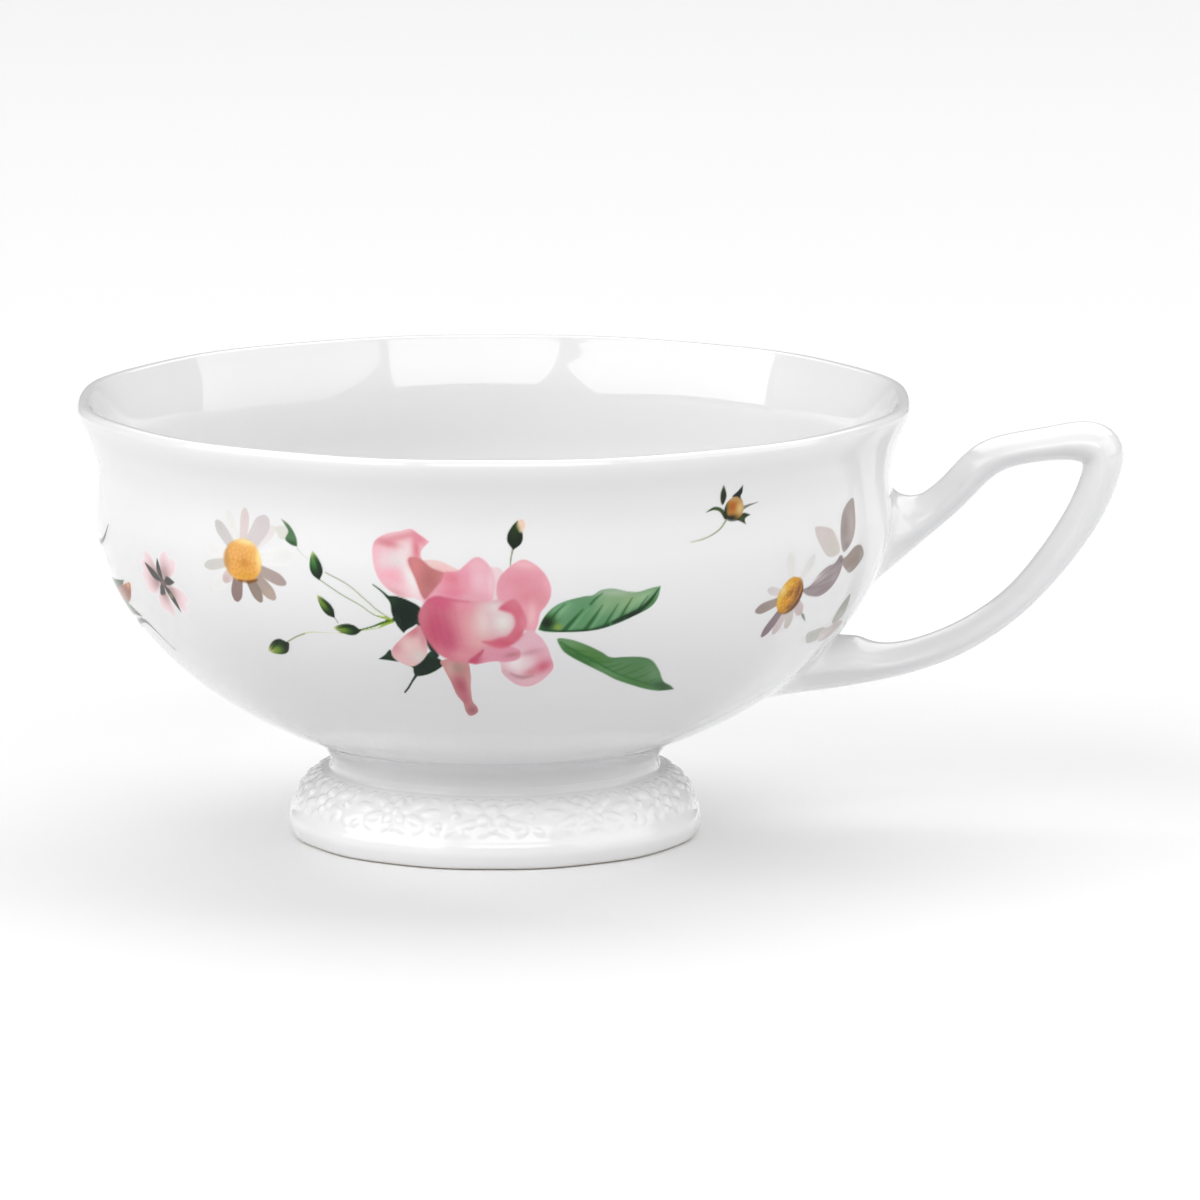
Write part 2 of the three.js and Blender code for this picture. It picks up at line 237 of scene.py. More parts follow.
class CupShape:
    """The profiles of the bowl and foot, worked out from the sizes."""

    def __init__(self, sizes):
        self.s = sizes
        self.body_radius = sizes.rim_radius - sizes.body_inset
        self.shoulder = sizes.height - sizes.shoulder_depth
        self.drop = self.shoulder - (sizes.joint - sizes.body_dip)
        self.fullness = 1.9
        outside = self.outside()
        self.outside_r, self.outside_z = outside[:, 0], outside[:, 1]
        self.outside_slope = np.gradient(self.outside_r, self.outside_z)

    def body_curve(self, start, widest, drop, steps):
        """A superellipse hung from the shoulder, from a radius outwards."""
        power = 2 / self.fullness
        first = math.acos((start / widest) ** (1 / power))
        angle = np.linspace(first, 0, steps)
        radius = widest * np.cos(angle) ** power
        return np.stack([radius, self.shoulder - drop * np.sin(angle) ** power], axis=1)

    def outside(self):
        """The outer profile, from the joint up to the lip."""
        s = self.s
        start = s.neck_radius + s.root_spread
        body = self.body_curve(start, self.body_radius, self.drop, 160)
        low, middle, high = (
            np.array([s.neck_radius, s.joint]),
            np.array([s.neck_radius + 0.2 * MM, body[0, 1] - 1.3 * MM]),
            body[0],
        )
        t = np.linspace(0, 1, 40)[:, None]
        root = low * (1 - t) ** 2 + middle * 2 * t * (1 - t) + high * t**2
        flare = smooth_curve(
            [
                (self.body_radius, self.shoulder),
                (s.rim_radius - s.waist_inset, s.height - s.waist_depth),
                (s.rim_radius - 1.6 * MM, s.height - 5 * MM),
                (s.rim_radius - 0.3 * MM, s.height - 2 * MM),
                (s.rim_radius, s.height - 0.7 * MM),
            ],
            24,
        )
        return eased(np.concatenate([root, body[1:], flare[1:]]), 0.2 * MM, 12)

    def inside(self):
        """The inner profile, from the lip down to the middle of the floor."""
        s = self.s
        widest = self.body_radius - s.wall
        floor = s.joint + s.floor
        down = smooth_curve(
            [
                (s.rim_radius - s.lip, s.height - 0.5 * MM),
                (s.rim_radius - s.waist_inset - 1.9 * MM, s.height - s.waist_depth + 2 * MM),
                (widest, self.shoulder),
            ],
            24,
        )
        curve = self.body_curve(0, widest, self.shoulder - floor, 160)[::-1]
        return eased(np.concatenate([down, curve[1:]]), 0.2 * MM, 12)

    def radius(self, z):
        """Axis to the middle of a side, at a height on the outside."""
        return np.interp(z, self.outside_z, self.outside_r)

    def on_bowl(self, angle, z, lift=0.0):
        """Points on the outside of the bowl and the directions square to it there."""
        turn = 1e-4
        reach = plan_reach(angle)
        change = (plan_reach(angle + turn) - plan_reach(angle - turn)) / (2 * turn)
        radius = self.radius(z)
        slope = np.interp(z, self.outside_z, self.outside_slope) * reach
        r, dr = radius * reach, radius * change
        cos, sin = np.cos(angle), np.sin(angle)
        normal = np.stack([dr * sin + r * cos, r * sin - dr * cos, -r * slope], axis=-1)
        normal /= np.linalg.norm(normal, axis=-1, keepdims=True)
        point = np.stack([AXIS_X + r * cos, r * sin, z], axis=-1)
        return point + normal * np.asarray(lift)[..., None], normal


# ---------------------------------------------------------------- meshes


def add_piece(name, vertices, faces, material, nodes):
    """A smooth mesh that rides on the cup and stands for its nodes of the frame."""
    mesh = bpy.data.meshes.new(name)
    mesh.from_pydata(vertices, [], faces)
    mesh.validate()
    mesh.shade_smooth()
    mesh.materials.append(material)
    piece = bpy.data.objects.new(name, mesh)
    bpy.context.scene.collection.objects.link(piece)
    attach(piece, BODY)
    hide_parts(*nodes)
    return piece


def ring_faces(first, second, count):
    """Quads between two rings of vertices, given by their first indices."""
    return [
        (first + i, first + (i + 1) % count, second + (i + 1) % count, second + i)
        for i in range(count)
    ]


def turned(profile, columns, lift=None):
    """A turned body: rows of (radius, height, share of the pressed plan) from axis to axis.

    lift(row, angles) moves a row square to the profile, as the relief does.
    """
    angle = np.arange(columns) * math.tau / columns
    reach = plan_reach(angle)
    tangent = np.gradient(profile[:, :2], axis=0)
    tangent /= np.linalg.norm(tangent, axis=1, keepdims=True)
    vertices = [(AXIS_X, 0, profile[0, 1])]
    faces = []
    rows = len(profile) - 2
    for row in range(1, rows + 1):
        radius, z, pressed = profile[row]
        raised = lift(row, angle) if lift else np.zeros(columns)
        r = (radius + raised * tangent[row, 1]) * (1 + pressed * (reach - 1))
        height = z - raised * tangent[row, 0]
        x = AXIS_X + r * np.cos(angle)
        vertices += zip(x.tolist(), (r * np.sin(angle)).tolist(), height.tolist())
        if row > 1:
            faces += ring_faces(1 + (row - 2) * columns, 1 + (row - 1) * columns, columns)
    vertices.append((AXIS_X, 0, profile[-1, 1]))
    top = len(vertices) - 1
    last = 1 + (rows - 1) * columns
    for i in range(columns):
        faces.append((0, 1 + (i + 1) % columns, 1 + i))
        faces.append((top, last + i, last + (i + 1) % columns))
    return vertices, faces


def bowl_profile(shape):
    """The bowl from the middle of its base, over the lip, to the middle of its floor."""
    s = shape.s
    outside, inside = shape.outside(), shape.inside()
    lip = smooth_curve(
        [
            outside[-1],
            (s.rim_radius - 0.3 * MM, s.height - 0.17 * MM),
            (s.rim_radius - s.lip / 2, s.height),
            (s.rim_radius - s.lip + 0.25 * MM, s.height - 0.12 * MM),
            inside[0],
        ],
        8,
    )[1:-1]
    base = even(np.array([(0, s.joint), (s.neck_radius - 0.04 * MM, s.joint)]), 3 * MM)
    start = outside[0] + [0, 0.04 * MM]
    outer = np.concatenate([base, outside[:1], [start], even(outside, 0.45 * MM)[1:], lip])
    depth = s.height - shape.shoulder
    inner = even(inside, 0.6 * MM)
    fade = 1 - 0.65 * smoothstep(0, depth, s.height - inner[:, 1])
    rows = np.concatenate([np.c_[outer, np.ones(len(outer))], np.c_[inner, fade]])
    rows[:, 1] = np.minimum(rows[:, 1], s.height)
    rows[-1, 0] = 0
    return rows


# ---- Relief of the frieze, in millimetres over one twelfth of the foot: [kind, across, up,
# half length, half width, turn in degrees, height as a share of the relief]
FRIEZE_RADIUS = 24
FRIEZE_RISE = 6.2
FOOT_COLUMNS = 720
ROSETTE = [
    ("leaf", 1.19, 3.59, 1.15, 0.78, 18, 0.85),
    ("leaf", 0, 4.45, 1.15, 0.78, 90, 0.85),
    ("leaf", -1.19, 3.59, 1.15, 0.78, 162, 0.85),
    ("leaf", -0.73, 2.19, 1.15, 0.78, 234, 0.85),
    ("leaf", 0.73, 2.19, 1.15, 0.78, 306, 0.85),
    ("fruit", 0, 3.2, 0.62, 0.62, 0, 1.1),
    ("leaf", 2.9, 2.1, 1.6, 0.72, -24, 0.75),
    ("leaf", -2.9, 2.1, 1.6, 0.72, 204, 0.75),
    ("leaf", 2.7, 4.5, 1.5, 0.66, 28, 0.7),
    ("leaf", -2.7, 4.5, 1.5, 0.66, 152, 0.7),
    ("leaf", 4.8, 3.4, 1.5, 0.6, 8, 0.8),
    ("leaf", -4.8, 3.4, 1.5, 0.6, 172, 0.8),
    ("fruit", 0, 0.95, 0.55, 0.5, 0, 0.7),
    ("fruit", 5.9, 1.6, 0.6, 0.55, 0, 0.8),
]
FRUITS = [
    ("fruit", 0, 4.0, 1.0, 1.0, 0, 1.0),
    ("fruit", -1.15, 2.6, 0.95, 0.95, 0, 1.0),
    ("fruit", 1.15, 2.5, 0.95, 0.95, 0, 1.0),
    ("fruit", 0.05, 1.4, 0.7, 0.7, 0, 0.85),
    ("leaf", 2.6, 4.2, 1.7, 0.8, 22, 0.8),
    ("leaf", -2.6, 4.3, 1.7, 0.8, 160, 0.8),
    ("leaf", 3.0, 1.9, 1.5, 0.7, -18, 0.7),
    ("leaf", -3.0, 1.9, 1.5, 0.7, 198, 0.7),
    ("leaf", 0, 5.5, 0.9, 0.45, 90, 0.6),
    ("fruit", 4.6, 3.1, 0.62, 0.62, 0, 0.9),
    ("fruit", -4.6, 3.1, 0.62, 0.62, 0, 0.9),
    ("leaf", 5.4, 4.6, 0.9, 0.45, 60, 0.6),
    ("leaf", -5.4, 4.6, 0.9, 0.45, 120, 0.6),
]
FILLING = [
    *[("leaf", -5.4 + 2.2 * k, 0.8, 1.05, 0.55, 35 - 70 * (k % 2), 0.5) for k in range(6)],
    *[("leaf", -5.0 + 2.0 * k, 5.4, 0.9, 0.45, 30 + 120 * (k % 2), 0.5) for k in range(6)],
]


def relief_height(across, up):
    """The frieze's height, from 0 to 1, at places across and up in millimetres."""
    width = math.tau * FRIEZE_RADIUS / SIDES
    cell = np.round(across / width)
    local = across - cell * width
    height = np.zeros_like(across)
    for parity, motif in enumerate((ROSETTE, FRUITS)):
        best = np.zeros_like(across)
        for kind, u, v, half_length, half_width, turn, share_up in motif + FILLING:
            c, s = math.cos(math.radians(turn)), math.sin(math.radians(turn))
            x, y = local - u, up - v
            a = (x * c + y * s) / half_length
            b = (y * c - x * s) / half_width
            inside = np.maximum(1 - a * a - b * b, 0)
            swell = share_up * inside**0.95
            if kind == "leaf":
                swell = swell * (1 - 0.22 * np.exp(-((b / 0.3) ** 2)))
            best = np.maximum(best, swell)
        height = np.where((cell % 2) == parity, best, height)
    return height


def foot_profile(shape):
    """The foot from its hollow round to its top, and which rows carry the frieze."""
    s = shape.s
    ceiling = FOOT_HIGH.z - 2.4 * MM
    hollow = smooth_curve(
        [
            (s.ring_inner - 6.5 * MM, ceiling),
            (s.ring_inner - 3.6 * MM, ceiling - 0.6 * MM),
            (s.ring_inner - 1.2 * MM, ceiling * 0.55),
            (s.ring_inner - 0.15 * MM, 0.35 * MM),
            (s.ring_inner + 0.3 * MM, 0),
            (s.ring_inner + 0.3 * MM, 0),
        ],
        5,
    )
    bead = smooth_curve(
        [
            (s.ring_outer - 0.3 * MM, 0),
            (s.ring_outer - 0.3 * MM, 0),
            (s.ring_outer + 0.35 * MM, 0.22 * MM),
            (s.foot_radius - 0.35 * MM, 0.85 * MM),
            (s.foot_radius, 2 * MM),
            (s.foot_radius - 0.15 * MM, s.bead - 0.7 * MM),
            (s.foot_radius - 0.5 * MM, s.bead - 0.1 * MM),
        ],
        5,
    )
    slope = smooth_curve(
        [
            (s.foot_radius - 0.62 * MM, s.bead + 0.15 * MM),
            (s.foot_radius - 0.9 * MM, s.bead + 0.8 * MM),
            (s.foot_radius - 1.55 * MM, s.bead + 2.1 * MM),
            (s.foot_radius - 3.2 * MM, s.frieze - 0.9 * MM),
            (s.neck_radius + 0.75 * MM, s.frieze - 0.05 * MM),
        ],
        24,
    )
    slope = even(slope, 0.19 * MM)
    neck = smooth_curve(
        [
            (s.neck_radius + 0.5 * MM, s.frieze + 0.05 * MM),
            (s.neck_radius + 0.15 * MM, s.frieze + 0.22 * MM),
            (s.neck_radius + 0.03 * MM, s.frieze + 0.6 * MM),
            (s.neck_radius, s.joint - 0.1 * MM),
            (s.neck_radius - 0.01 * MM, s.joint + 0.1 * MM),
        ],
        4,
    )
    under = np.concatenate([[(0, ceiling)], hollow])
    top = s.joint + 0.1 * MM
    over = np.array([(s.neck_radius - 0.05 * MM, top), (s.neck_radius - 3 * MM, top), (0, top)])
    lines = [under, bead, slope, neck, over]
    pressed = [np.zeros(len(under)), *[np.ones(len(line)) for line in lines[1:]]]
    rows = np.c_[np.concatenate(lines), np.concatenate(pressed)]
    rows[:, 1] = np.maximum(rows[:, 1], 0)
    first = len(under) + len(bead)
    return rows, first, first + len(slope)


# ---- Handle: the strap's middle line and sizes, from the upper root round to the lower one, as
# [out, up, thickness, width]. Out is a share of the reach beyond the body, up a share of the way
# from the lower root to the top, and the sizes are shares of the strap's own.
STRAP = [
    (-0.15, 0.545, 2.4, 2.1),
    (-0.01, 0.578, 2.15, 1.75),
    (0.073, 0.618, 1.5, 1.3),
    (0.142, 0.65, 1.22, 1.1),
    (0.239, 0.717, 1.12, 1),
    (0.334, 0.806, 1.12, 0.97),
    (0.403, 0.862, 1.14, 0.97),
    (0.502, 0.896, 1.06, 0.97),
    (0.682, 0.923, 1.08, 0.97),
    (0.82, 0.932, 1.3, 1),
    (0.905, 0.903, 1.48, 1.03),
    (0.905, 0.821, 1.2, 1.03),
    (0.863, 0.711, 1.15, 1),
    (0.794, 0.597, 1.1, 0.97),
    (0.682, 0.457, 1.02, 0.97),
    (0.547, 0.322, 0.95, 0.97),
    (0.402, 0.221, 0.96, 1),
    (0.24, 0.142, 1, 1.03),
    (0.059, 0.088, 1.04, 1.09),
    (-0.08, 0.071, 1.25, 1.25),
    (-0.2, 0.079, 1.75, 1.6),
    (-0.34, 0.068, 1.85, 2),
]
HANDLE_REACH = 29.1 * MM
HANDLE_TOP_DROP = 3.7 * MM
LOWER_ROOT_INSET = 14.3 * MM
RIDGE_POWER = 1.6
STRAP_SIDES = 72
FILLET_ROWS = 18
FREE_GAP = 1.6 * MM  # the strap's rings are free of the bowl beyond this gap
UPPER_SKIP, LOWER_SKIP = 6, 3  # free rings that each fillet takes up
# Where each root spreads on the bowl: height of its middle, half height and half width
UPPER_ROOT = (37.5 * MM, 7.5 * MM, 9.2 * MM)
LOWER_ROOT = (20.9 * MM, 5.0 * MM, 10.4 * MM)


def strap_rings(shape):
    """Rings of the swept strap, each STRAP_SIDES points, from the upper root to the lower."""
    s = shape.s
    inset = shape.body_radius - LOWER_ROOT_INSET
    bulge = (1 - (inset / shape.body_radius) ** shape.fullness) ** (1 / shape.fullness)
    low = shape.shoulder - shape.drop * bulge
    top = s.height - HANDLE_TOP_DROP
    rows = np.array(STRAP)
    line = np.stack(
        [
            shape.body_radius + rows[:, 0] * HANDLE_REACH,
            low + rows[:, 1] * (top - low),
            rows[:, 2] * s.strap_thickness / 2,
            rows[:, 3] * s.strap_width / 2,
        ],
        axis=1,
    )
    line = eased(smooth_curve(line, 24), 0.25 * MM, 40)
    line = even(line, 0.5 * MM)
    tangent = np.gradient(line[:, :2], axis=0)
    tangent /= np.linalg.norm(tangent, axis=1, keepdims=True)
    angle = np.arange(STRAP_SIDES) * math.tau / STRAP_SIDES
    c, q = np.cos(angle), np.sin(angle)
    trim = (np.abs(c) ** RIDGE_POWER + np.abs(q) ** RIDGE_POWER) ** (-1 / RIDGE_POWER)
    across, sideways = c * trim, q * trim
    rings = np.empty((len(line), STRAP_SIDES, 3))
    rings[..., 0] = line[:, :1] - tangent[:, 1:] * across * line[:, 2:3]
    rings[..., 1] = sideways * line[:, 3:4]
    rings[..., 2] = line[:, 1:2] + tangent[:, :1] * across * line[:, 2:3]
    rings[..., 0] += AXIS_X
    return rings, across, sideways


def root_rows(shape, ring, before, root, across, sideways, up):
    """A hollow fillet from a ring of the strap down to the bowl, and a plug under the glaze.

    before is the ring next to it on the strap, and up says which way across points on the bowl.
    """
    middle, half_height, half_width = root
    slope = float(np.interp(middle, shape.outside_z, shape.outside_slope))
    flat = math.hypot(1, slope)

    def on_root(scale, lift):
        z = middle + up * across * half_height * scale
        r = shape.radius(z)
        angle = sideways * half_width * scale / r
        return shape.on_bowl(angle, z, np.full(len(across), lift))[0]

    foot = on_root(1, -0.04 * MM)
    outward = on_root(1.05, -0.04 * MM) - foot
    outward /= np.linalg.norm(outward, axis=1, keepdims=True)
    inward = ring - before
    inward /= np.linalg.norm(inward, axis=1, keepdims=True)
    gap = np.linalg.norm(foot - ring, axis=1, keepdims=True)
    # the fillet is hollow on top and at the sides, and runs straighter underneath
    lean = (0.75 + 0.4 * across)[:, None] if up > 0 else (0.95 - 0.3 * across)[:, None]
    pull = (1.05 + 0.3 * across)[:, None] if up > 0 else 1
    rows = []
    for step in range(1, FILLET_ROWS + 1):
        t = step / FILLET_ROWS
        a, b = 2 * t**3 - 3 * t**2 + 1, t**3 - 2 * t**2 + t
        c, d = 3 * t**2 - 2 * t**3, t**3 - t**2
        rows.append(a * ring + b * gap * pull * inward + c * foot + d * gap * lean * outward)
    rows.append(on_root(1.04, -0.12 * MM))
    rows.append(on_root(0.9, -1.0 * MM))
    rows.append(on_root(0.45, -1.1 * flat * MM))
    return rows


def clearance(shape, ring):
    """How far the nearest point of a ring stands off the bowl."""
    x, y = ring[:, 0] - AXIS_X, ring[:, 1]
    reach = np.hypot(x, y) / plan_reach(np.arctan2(y, x))
    return float(np.min(reach - shape.radius(ring[:, 2])))


def handle_mesh(shape):
    """The strap and its two roots as one closed skin."""
    rings, across, sideways = strap_rings(shape)
    free = [i for i in range(len(rings)) if clearance(shape, rings[i]) > FREE_GAP]
    first, last = free[0] + UPPER_SKIP, free[-1] - LOWER_SKIP
    upper = root_rows(shape, rings[first], rings[first + 1], UPPER_ROOT, across, sideways, 1)
    lower = root_rows(shape, rings[last], rings[last - 1], LOWER_ROOT, across, sideways, -1)
    rows = [*upper[::-1], *rings[first : last + 1], *lower]
    vertices = [tuple(p) for row in rows for p in row.tolist()]
    faces = []
    for row in range(len(rows) - 1):
        faces += ring_faces(row * STRAP_SIDES, (row + 1) * STRAP_SIDES, STRAP_SIDES)
    for row, order in ((rows[0], 1), (rows[-1], -1)):
        start = 0 if order == 1 else (len(rows) - 1) * STRAP_SIDES
        vertices.append(tuple(np.mean(row, axis=0).tolist()))
        hub = len(vertices) - 1
        for i in range(STRAP_SIDES):
            pair = (start + i, start + (i + 1) % STRAP_SIDES)
            faces.append((hub, *(pair[::-1] if order == 1 else pair)))
    return vertices, faces


def face_outwards(piece):
    """Turns a closed mesh's faces the same way, with their fronts outside."""
    made = bmesh.new()
    made.from_mesh(piece.data)
    bmesh.ops.recalc_face_normals(made, faces=made.faces)
    made.to_mesh(piece.data)
    made.free()


# ---------------------------------------------------------------- painting


def rgb(code):
    """A colour written as six hexadecimal digits, as three numbers from 0 to 1."""
    return np.array([int(code[i : i + 2], 16) / 255 for i in (0, 2, 4)])


def to_linear(colour):
    """Screen colours turned into amounts of light."""
    low = colour / 12.92
    return np.where(colour <= 0.04045, low, ((colour + 0.055) / 1.055) ** 2.4)


class Print:
    """A flower print painted flat: across from its bearing, and height, in millimetres."""

    def __init__(self, left, right, low, high, cell):
        self.cell = cell
        across = np.arange(left, right + cell, cell)
        height = np.arange(low, high + cell, cell)
        self.u, self.v = np.meshgrid(across, height)
        self.colour = np.full(self.u.shape + (3,), 0.95)
        self.cover = np.zeros(self.u.shape)

    def lay(self, mask, colour):
        """Lays a colour over what is there, as much as the mask says."""
        m = mask[..., None]
        self.colour = self.colour * (1 - m) + colour * m
        self.cover = np.maximum(self.cover, mask)

    def reach(self, points, widths=0.0):
        """Distance from a line, less its half width there, and which points a loop holds."""
        pad = 1.0 + np.max(widths)
        low, high = points.min(axis=0) - pad, points.max(axis=0) + pad
        rows = np.nonzero((self.v[:, 0] >= low[1]) & (self.v[:, 0] <= high[1]))[0]
        columns = np.nonzero((self.u[0] >= low[0]) & (self.u[0] <= high[0]))[0]
        distance = np.full(self.u.shape, 9.0)
        inside = np.zeros(self.u.shape, bool)
        if not len(rows) or not len(columns):
            return distance, inside
        box = (slice(rows[0], rows[-1] + 1), slice(columns[0], columns[-1] + 1))
        u, v = self.u[box], self.v[box]
        best, held = np.full(u.shape, 9.0), np.zeros(u.shape, bool)
        half = np.broadcast_to(np.asarray(widths, float), (len(points),))
        for a, b, wa, wb in zip(points[:-1], points[1:], half[:-1], half[1:]):
            d = b - a
            size = float(d @ d)
            if size < 1e-12:
                continue
            t = np.clip(((u - a[0]) * d[0] + (v - a[1]) * d[1]) / size, 0, 1)
            away = np.hypot(u - a[0] - t * d[0], v - a[1] - t * d[1])
            best = np.minimum(best, away - (wa + (wb - wa) * t))
            if a[1] != b[1]:
                crosses = (a[1] > v) != (b[1] > v)
                held ^= crosses & (u < d[0] * (v - a[1]) / d[1] + a[0])
        distance[box], inside[box] = best, held
        return distance, inside

    def shape(self, outline, soft=0.22):
        """From 0 to 1, how much of the enamel an outline leaves on each spot."""
        loop = smooth_curve(outline, 8, closed=True)
        distance, inside = self.reach(np.concatenate([loop, loop[:1]]))
        signed = np.where(inside, distance, -distance)
        return smoothstep(-soft / 2, soft / 2, signed)

    def near(self, u, v, a, b, turn=0):
        """A soft spot, 1 at its middle, with half sizes a and b, turned by degrees."""
        c, s = math.cos(math.radians(turn)), math.sin(math.radians(turn))
        x, y = self.u - u, self.v - v
        q = ((x * c + y * s) / a) ** 2 + ((y * c - x * s) / b) ** 2
        return np.exp(-q * 0.9)

    def petal(self, outline, base, *touches, soft=0.22, strength=1.0):
        """A filled outline, with touches of colour: (u, v, a, b, turn, colour, strength)."""
        mask = self.shape(outline, soft) * strength
        self.fill(mask, base, *touches)
        return mask

    def fill(self, mask, base, *touches):
        """Lays a base colour with softer touches over a mask."""
        colour = np.broadcast_to(rgb(base), self.colour.shape).copy()
        for u, v, a, b, turn, code, amount in touches:
            spot = (self.near(u, v, a, b, turn) * amount)[..., None]
            colour = colour * (1 - spot) + rgb(code) * spot
        self.lay(mask, colour)

    def stroke(self, points, widths, code, soft=0.16, strength=1.0, within=None):
        """A line of varying width through the points."""
        count = len(points)
        half = np.broadcast_to(np.asarray(widths, float), (count,))
        line = smooth_curve(np.c_[np.asarray(points, float), half], 7)
        distance, _ = self.reach(line[:, :2], line[:, 2])
        mask = smoothstep(soft / 2, -soft / 2, distance) * strength
        if within is not None:
            mask = mask * within
        self.lay(mask, rgb(code))

    def spot(self, u, v, a, b, turn, code, soft=0.25, strength=1.0):
        """A firm oval spot."""
        c, s = math.cos(math.radians(turn)), math.sin(math.radians(turn))
        x, y = self.u - u, self.v - v
        q = np.hypot((x * c + y * s) / a, (y * c - x * s) / b)
        edge = soft / min(a, b)
        self.lay(smoothstep(1 + edge / 2, 1 - edge / 2, q) * strength, rgb(code))

    def bud(self, base, tip, width, dark="14300f", light="7d9a3f", cap="d9d3ac"):
        """A closed bud from its stem to its tip, dark at the base and pale at the end."""
        base, tip = np.array(base, float), np.array(tip, float)
        d = tip - base
        size = float(np.hypot(*d))
        side = np.array([-d[1], d[0]]) / size * width
        outline = [
            base,
            base,
            base + d * 0.22 + side * 0.85,
            base + d * 0.48 + side,
            base + d * 0.8 + side * 0.55,
            tip,
            tip,
            base + d * 0.8 - side * 0.55,
            base + d * 0.48 - side,
            base + d * 0.22 - side * 0.85,
        ]
        mask = self.shape(outline, 0.2)
        turn = math.degrees(math.atan2(d[1], d[0]))
        mid = base + d * 0.62 + side * 0.2
        end = base + d * 0.97
        self.fill(
            mask,
            dark,
            (*mid, size * 0.28, width * 0.7, turn, light, 0.85),
            (*end, size * 0.2, width, turn, cap, 0.95),
        )
        self.stroke(
            [base + d * 0.15 - side * 0.35, base + d * 0.5 - side * 0.4, base + d * 0.85],
            [0.05, 0.09, 0.03],
            dark,
            within=mask,
            strength=0.6,
        )

    def leaf(self, stem, tip, bow, width, base="5f8f5d", dark="2c5a33", pale="93b58d", veins=6):
        """A leaf from its stem to its tip, bowed sideways, with a midrib and side veins."""
        stem, tip = np.array(stem, float), np.array(tip, float)
        d = tip - stem
        side = np.array([-d[1], d[0]]) / np.hypot(*d)
        spine = [stem + d * t + side * bow * 4 * t * (1 - t) for t in (0, 0.25, 0.5, 0.75, 1)]
        wide = [0.0, 0.78, 1.0, 0.72, 0.0]
        upper = [p + side * width * w for p, w in zip(spine, wide)]
        lower = [p - side * width * w for p, w in zip(spine, wide)]
        outline = [upper[0], *upper[:4], upper[4], upper[4], *lower[3:0:-1]]
        turn = math.degrees(math.atan2(d[1], d[0]))
        mask = self.shape(outline, 0.2)
        high, low_side = spine[2] + side * width * 0.6, spine[2] - side * width * 0.8
        size = float(np.hypot(*d))
        self.fill(
            mask,
            base,
            (*high, size * 0.35, width * 0.5, turn, pale, 0.7),
            (*low_side, size * 0.5, width * 0.4, turn, dark, 0.7),
            (*spine[0], size * 0.18, width, turn, dark, 0.8),
        )
        for i in range(1, veins + 1):
            t = i / (veins + 1)
            foot = stem + d * t + side * bow * 4 * t * (1 - t)
            for way in (1, -1):
                end = foot + d / size * width * 0.9 + side * way * width * 0.95
                middle = (foot + end) / 2 - d / size * 0.1
                self.stroke([foot, middle, end], [0.1, 0.08, 0.04], dark, 0.22, 0.55, mask)
        self.stroke(spine, [0.14, 0.12, 0.1, 0.08, 0.04], dark, 0.18, 0.8, mask)

    def long_petal(self, root, tip, width, base, edge=None, strength=1.0):
        """A narrow petal, blunt at its tip, with faint lengthwise veins."""
        root, tip = np.array(root, float), np.array(tip, float)
        d = tip - root
        size = float(np.hypot(*d))
        side = np.array([-d[1], d[0]]) / size * width
        outline = [
            root + side * 0.35,
            root + d * 0.45 + side * 0.85,
            root + d * 0.8 + side,
            root + d * 0.97 + side * 0.45,
            tip,
            root + d * 0.97 - side * 0.5,
            root + d * 0.8 - side,
            root + d * 0.45 - side * 0.85,
            root - side * 0.35,
        ]
        turn = math.degrees(math.atan2(d[1], d[0]))
        edge = edge or base
        mask = self.shape(outline, 0.26) * strength
        near_tip = root + d * 0.9
        self.fill(mask, base, (*near_tip, size * 0.22, width * 1.1, turn, edge, 0.8))
        for way in (-0.35, 0.35):
            line = [root + side * way * 0.5, root + d * 0.5 + side * way, root + d * 0.85]
            self.stroke(line, [0.05, 0.07, 0.02], edge, 0.2, 0.45 * strength, mask)


# ---- The prints, each painted in its own place

GOLDEN_TURN = 2.39996  # radians from one seed of a daisy's disc to the next


def seed_places(middle, count, reach):
    """Places of a daisy's seeds, wound outwards from the middle of its disc."""
    for k in range(count):
        turn, out = k * GOLDEN_TURN, reach * math.sqrt((k + 0.5) / count)
        yield middle[0] + out * math.cos(turn), middle[1] + out * math.sin(turn)


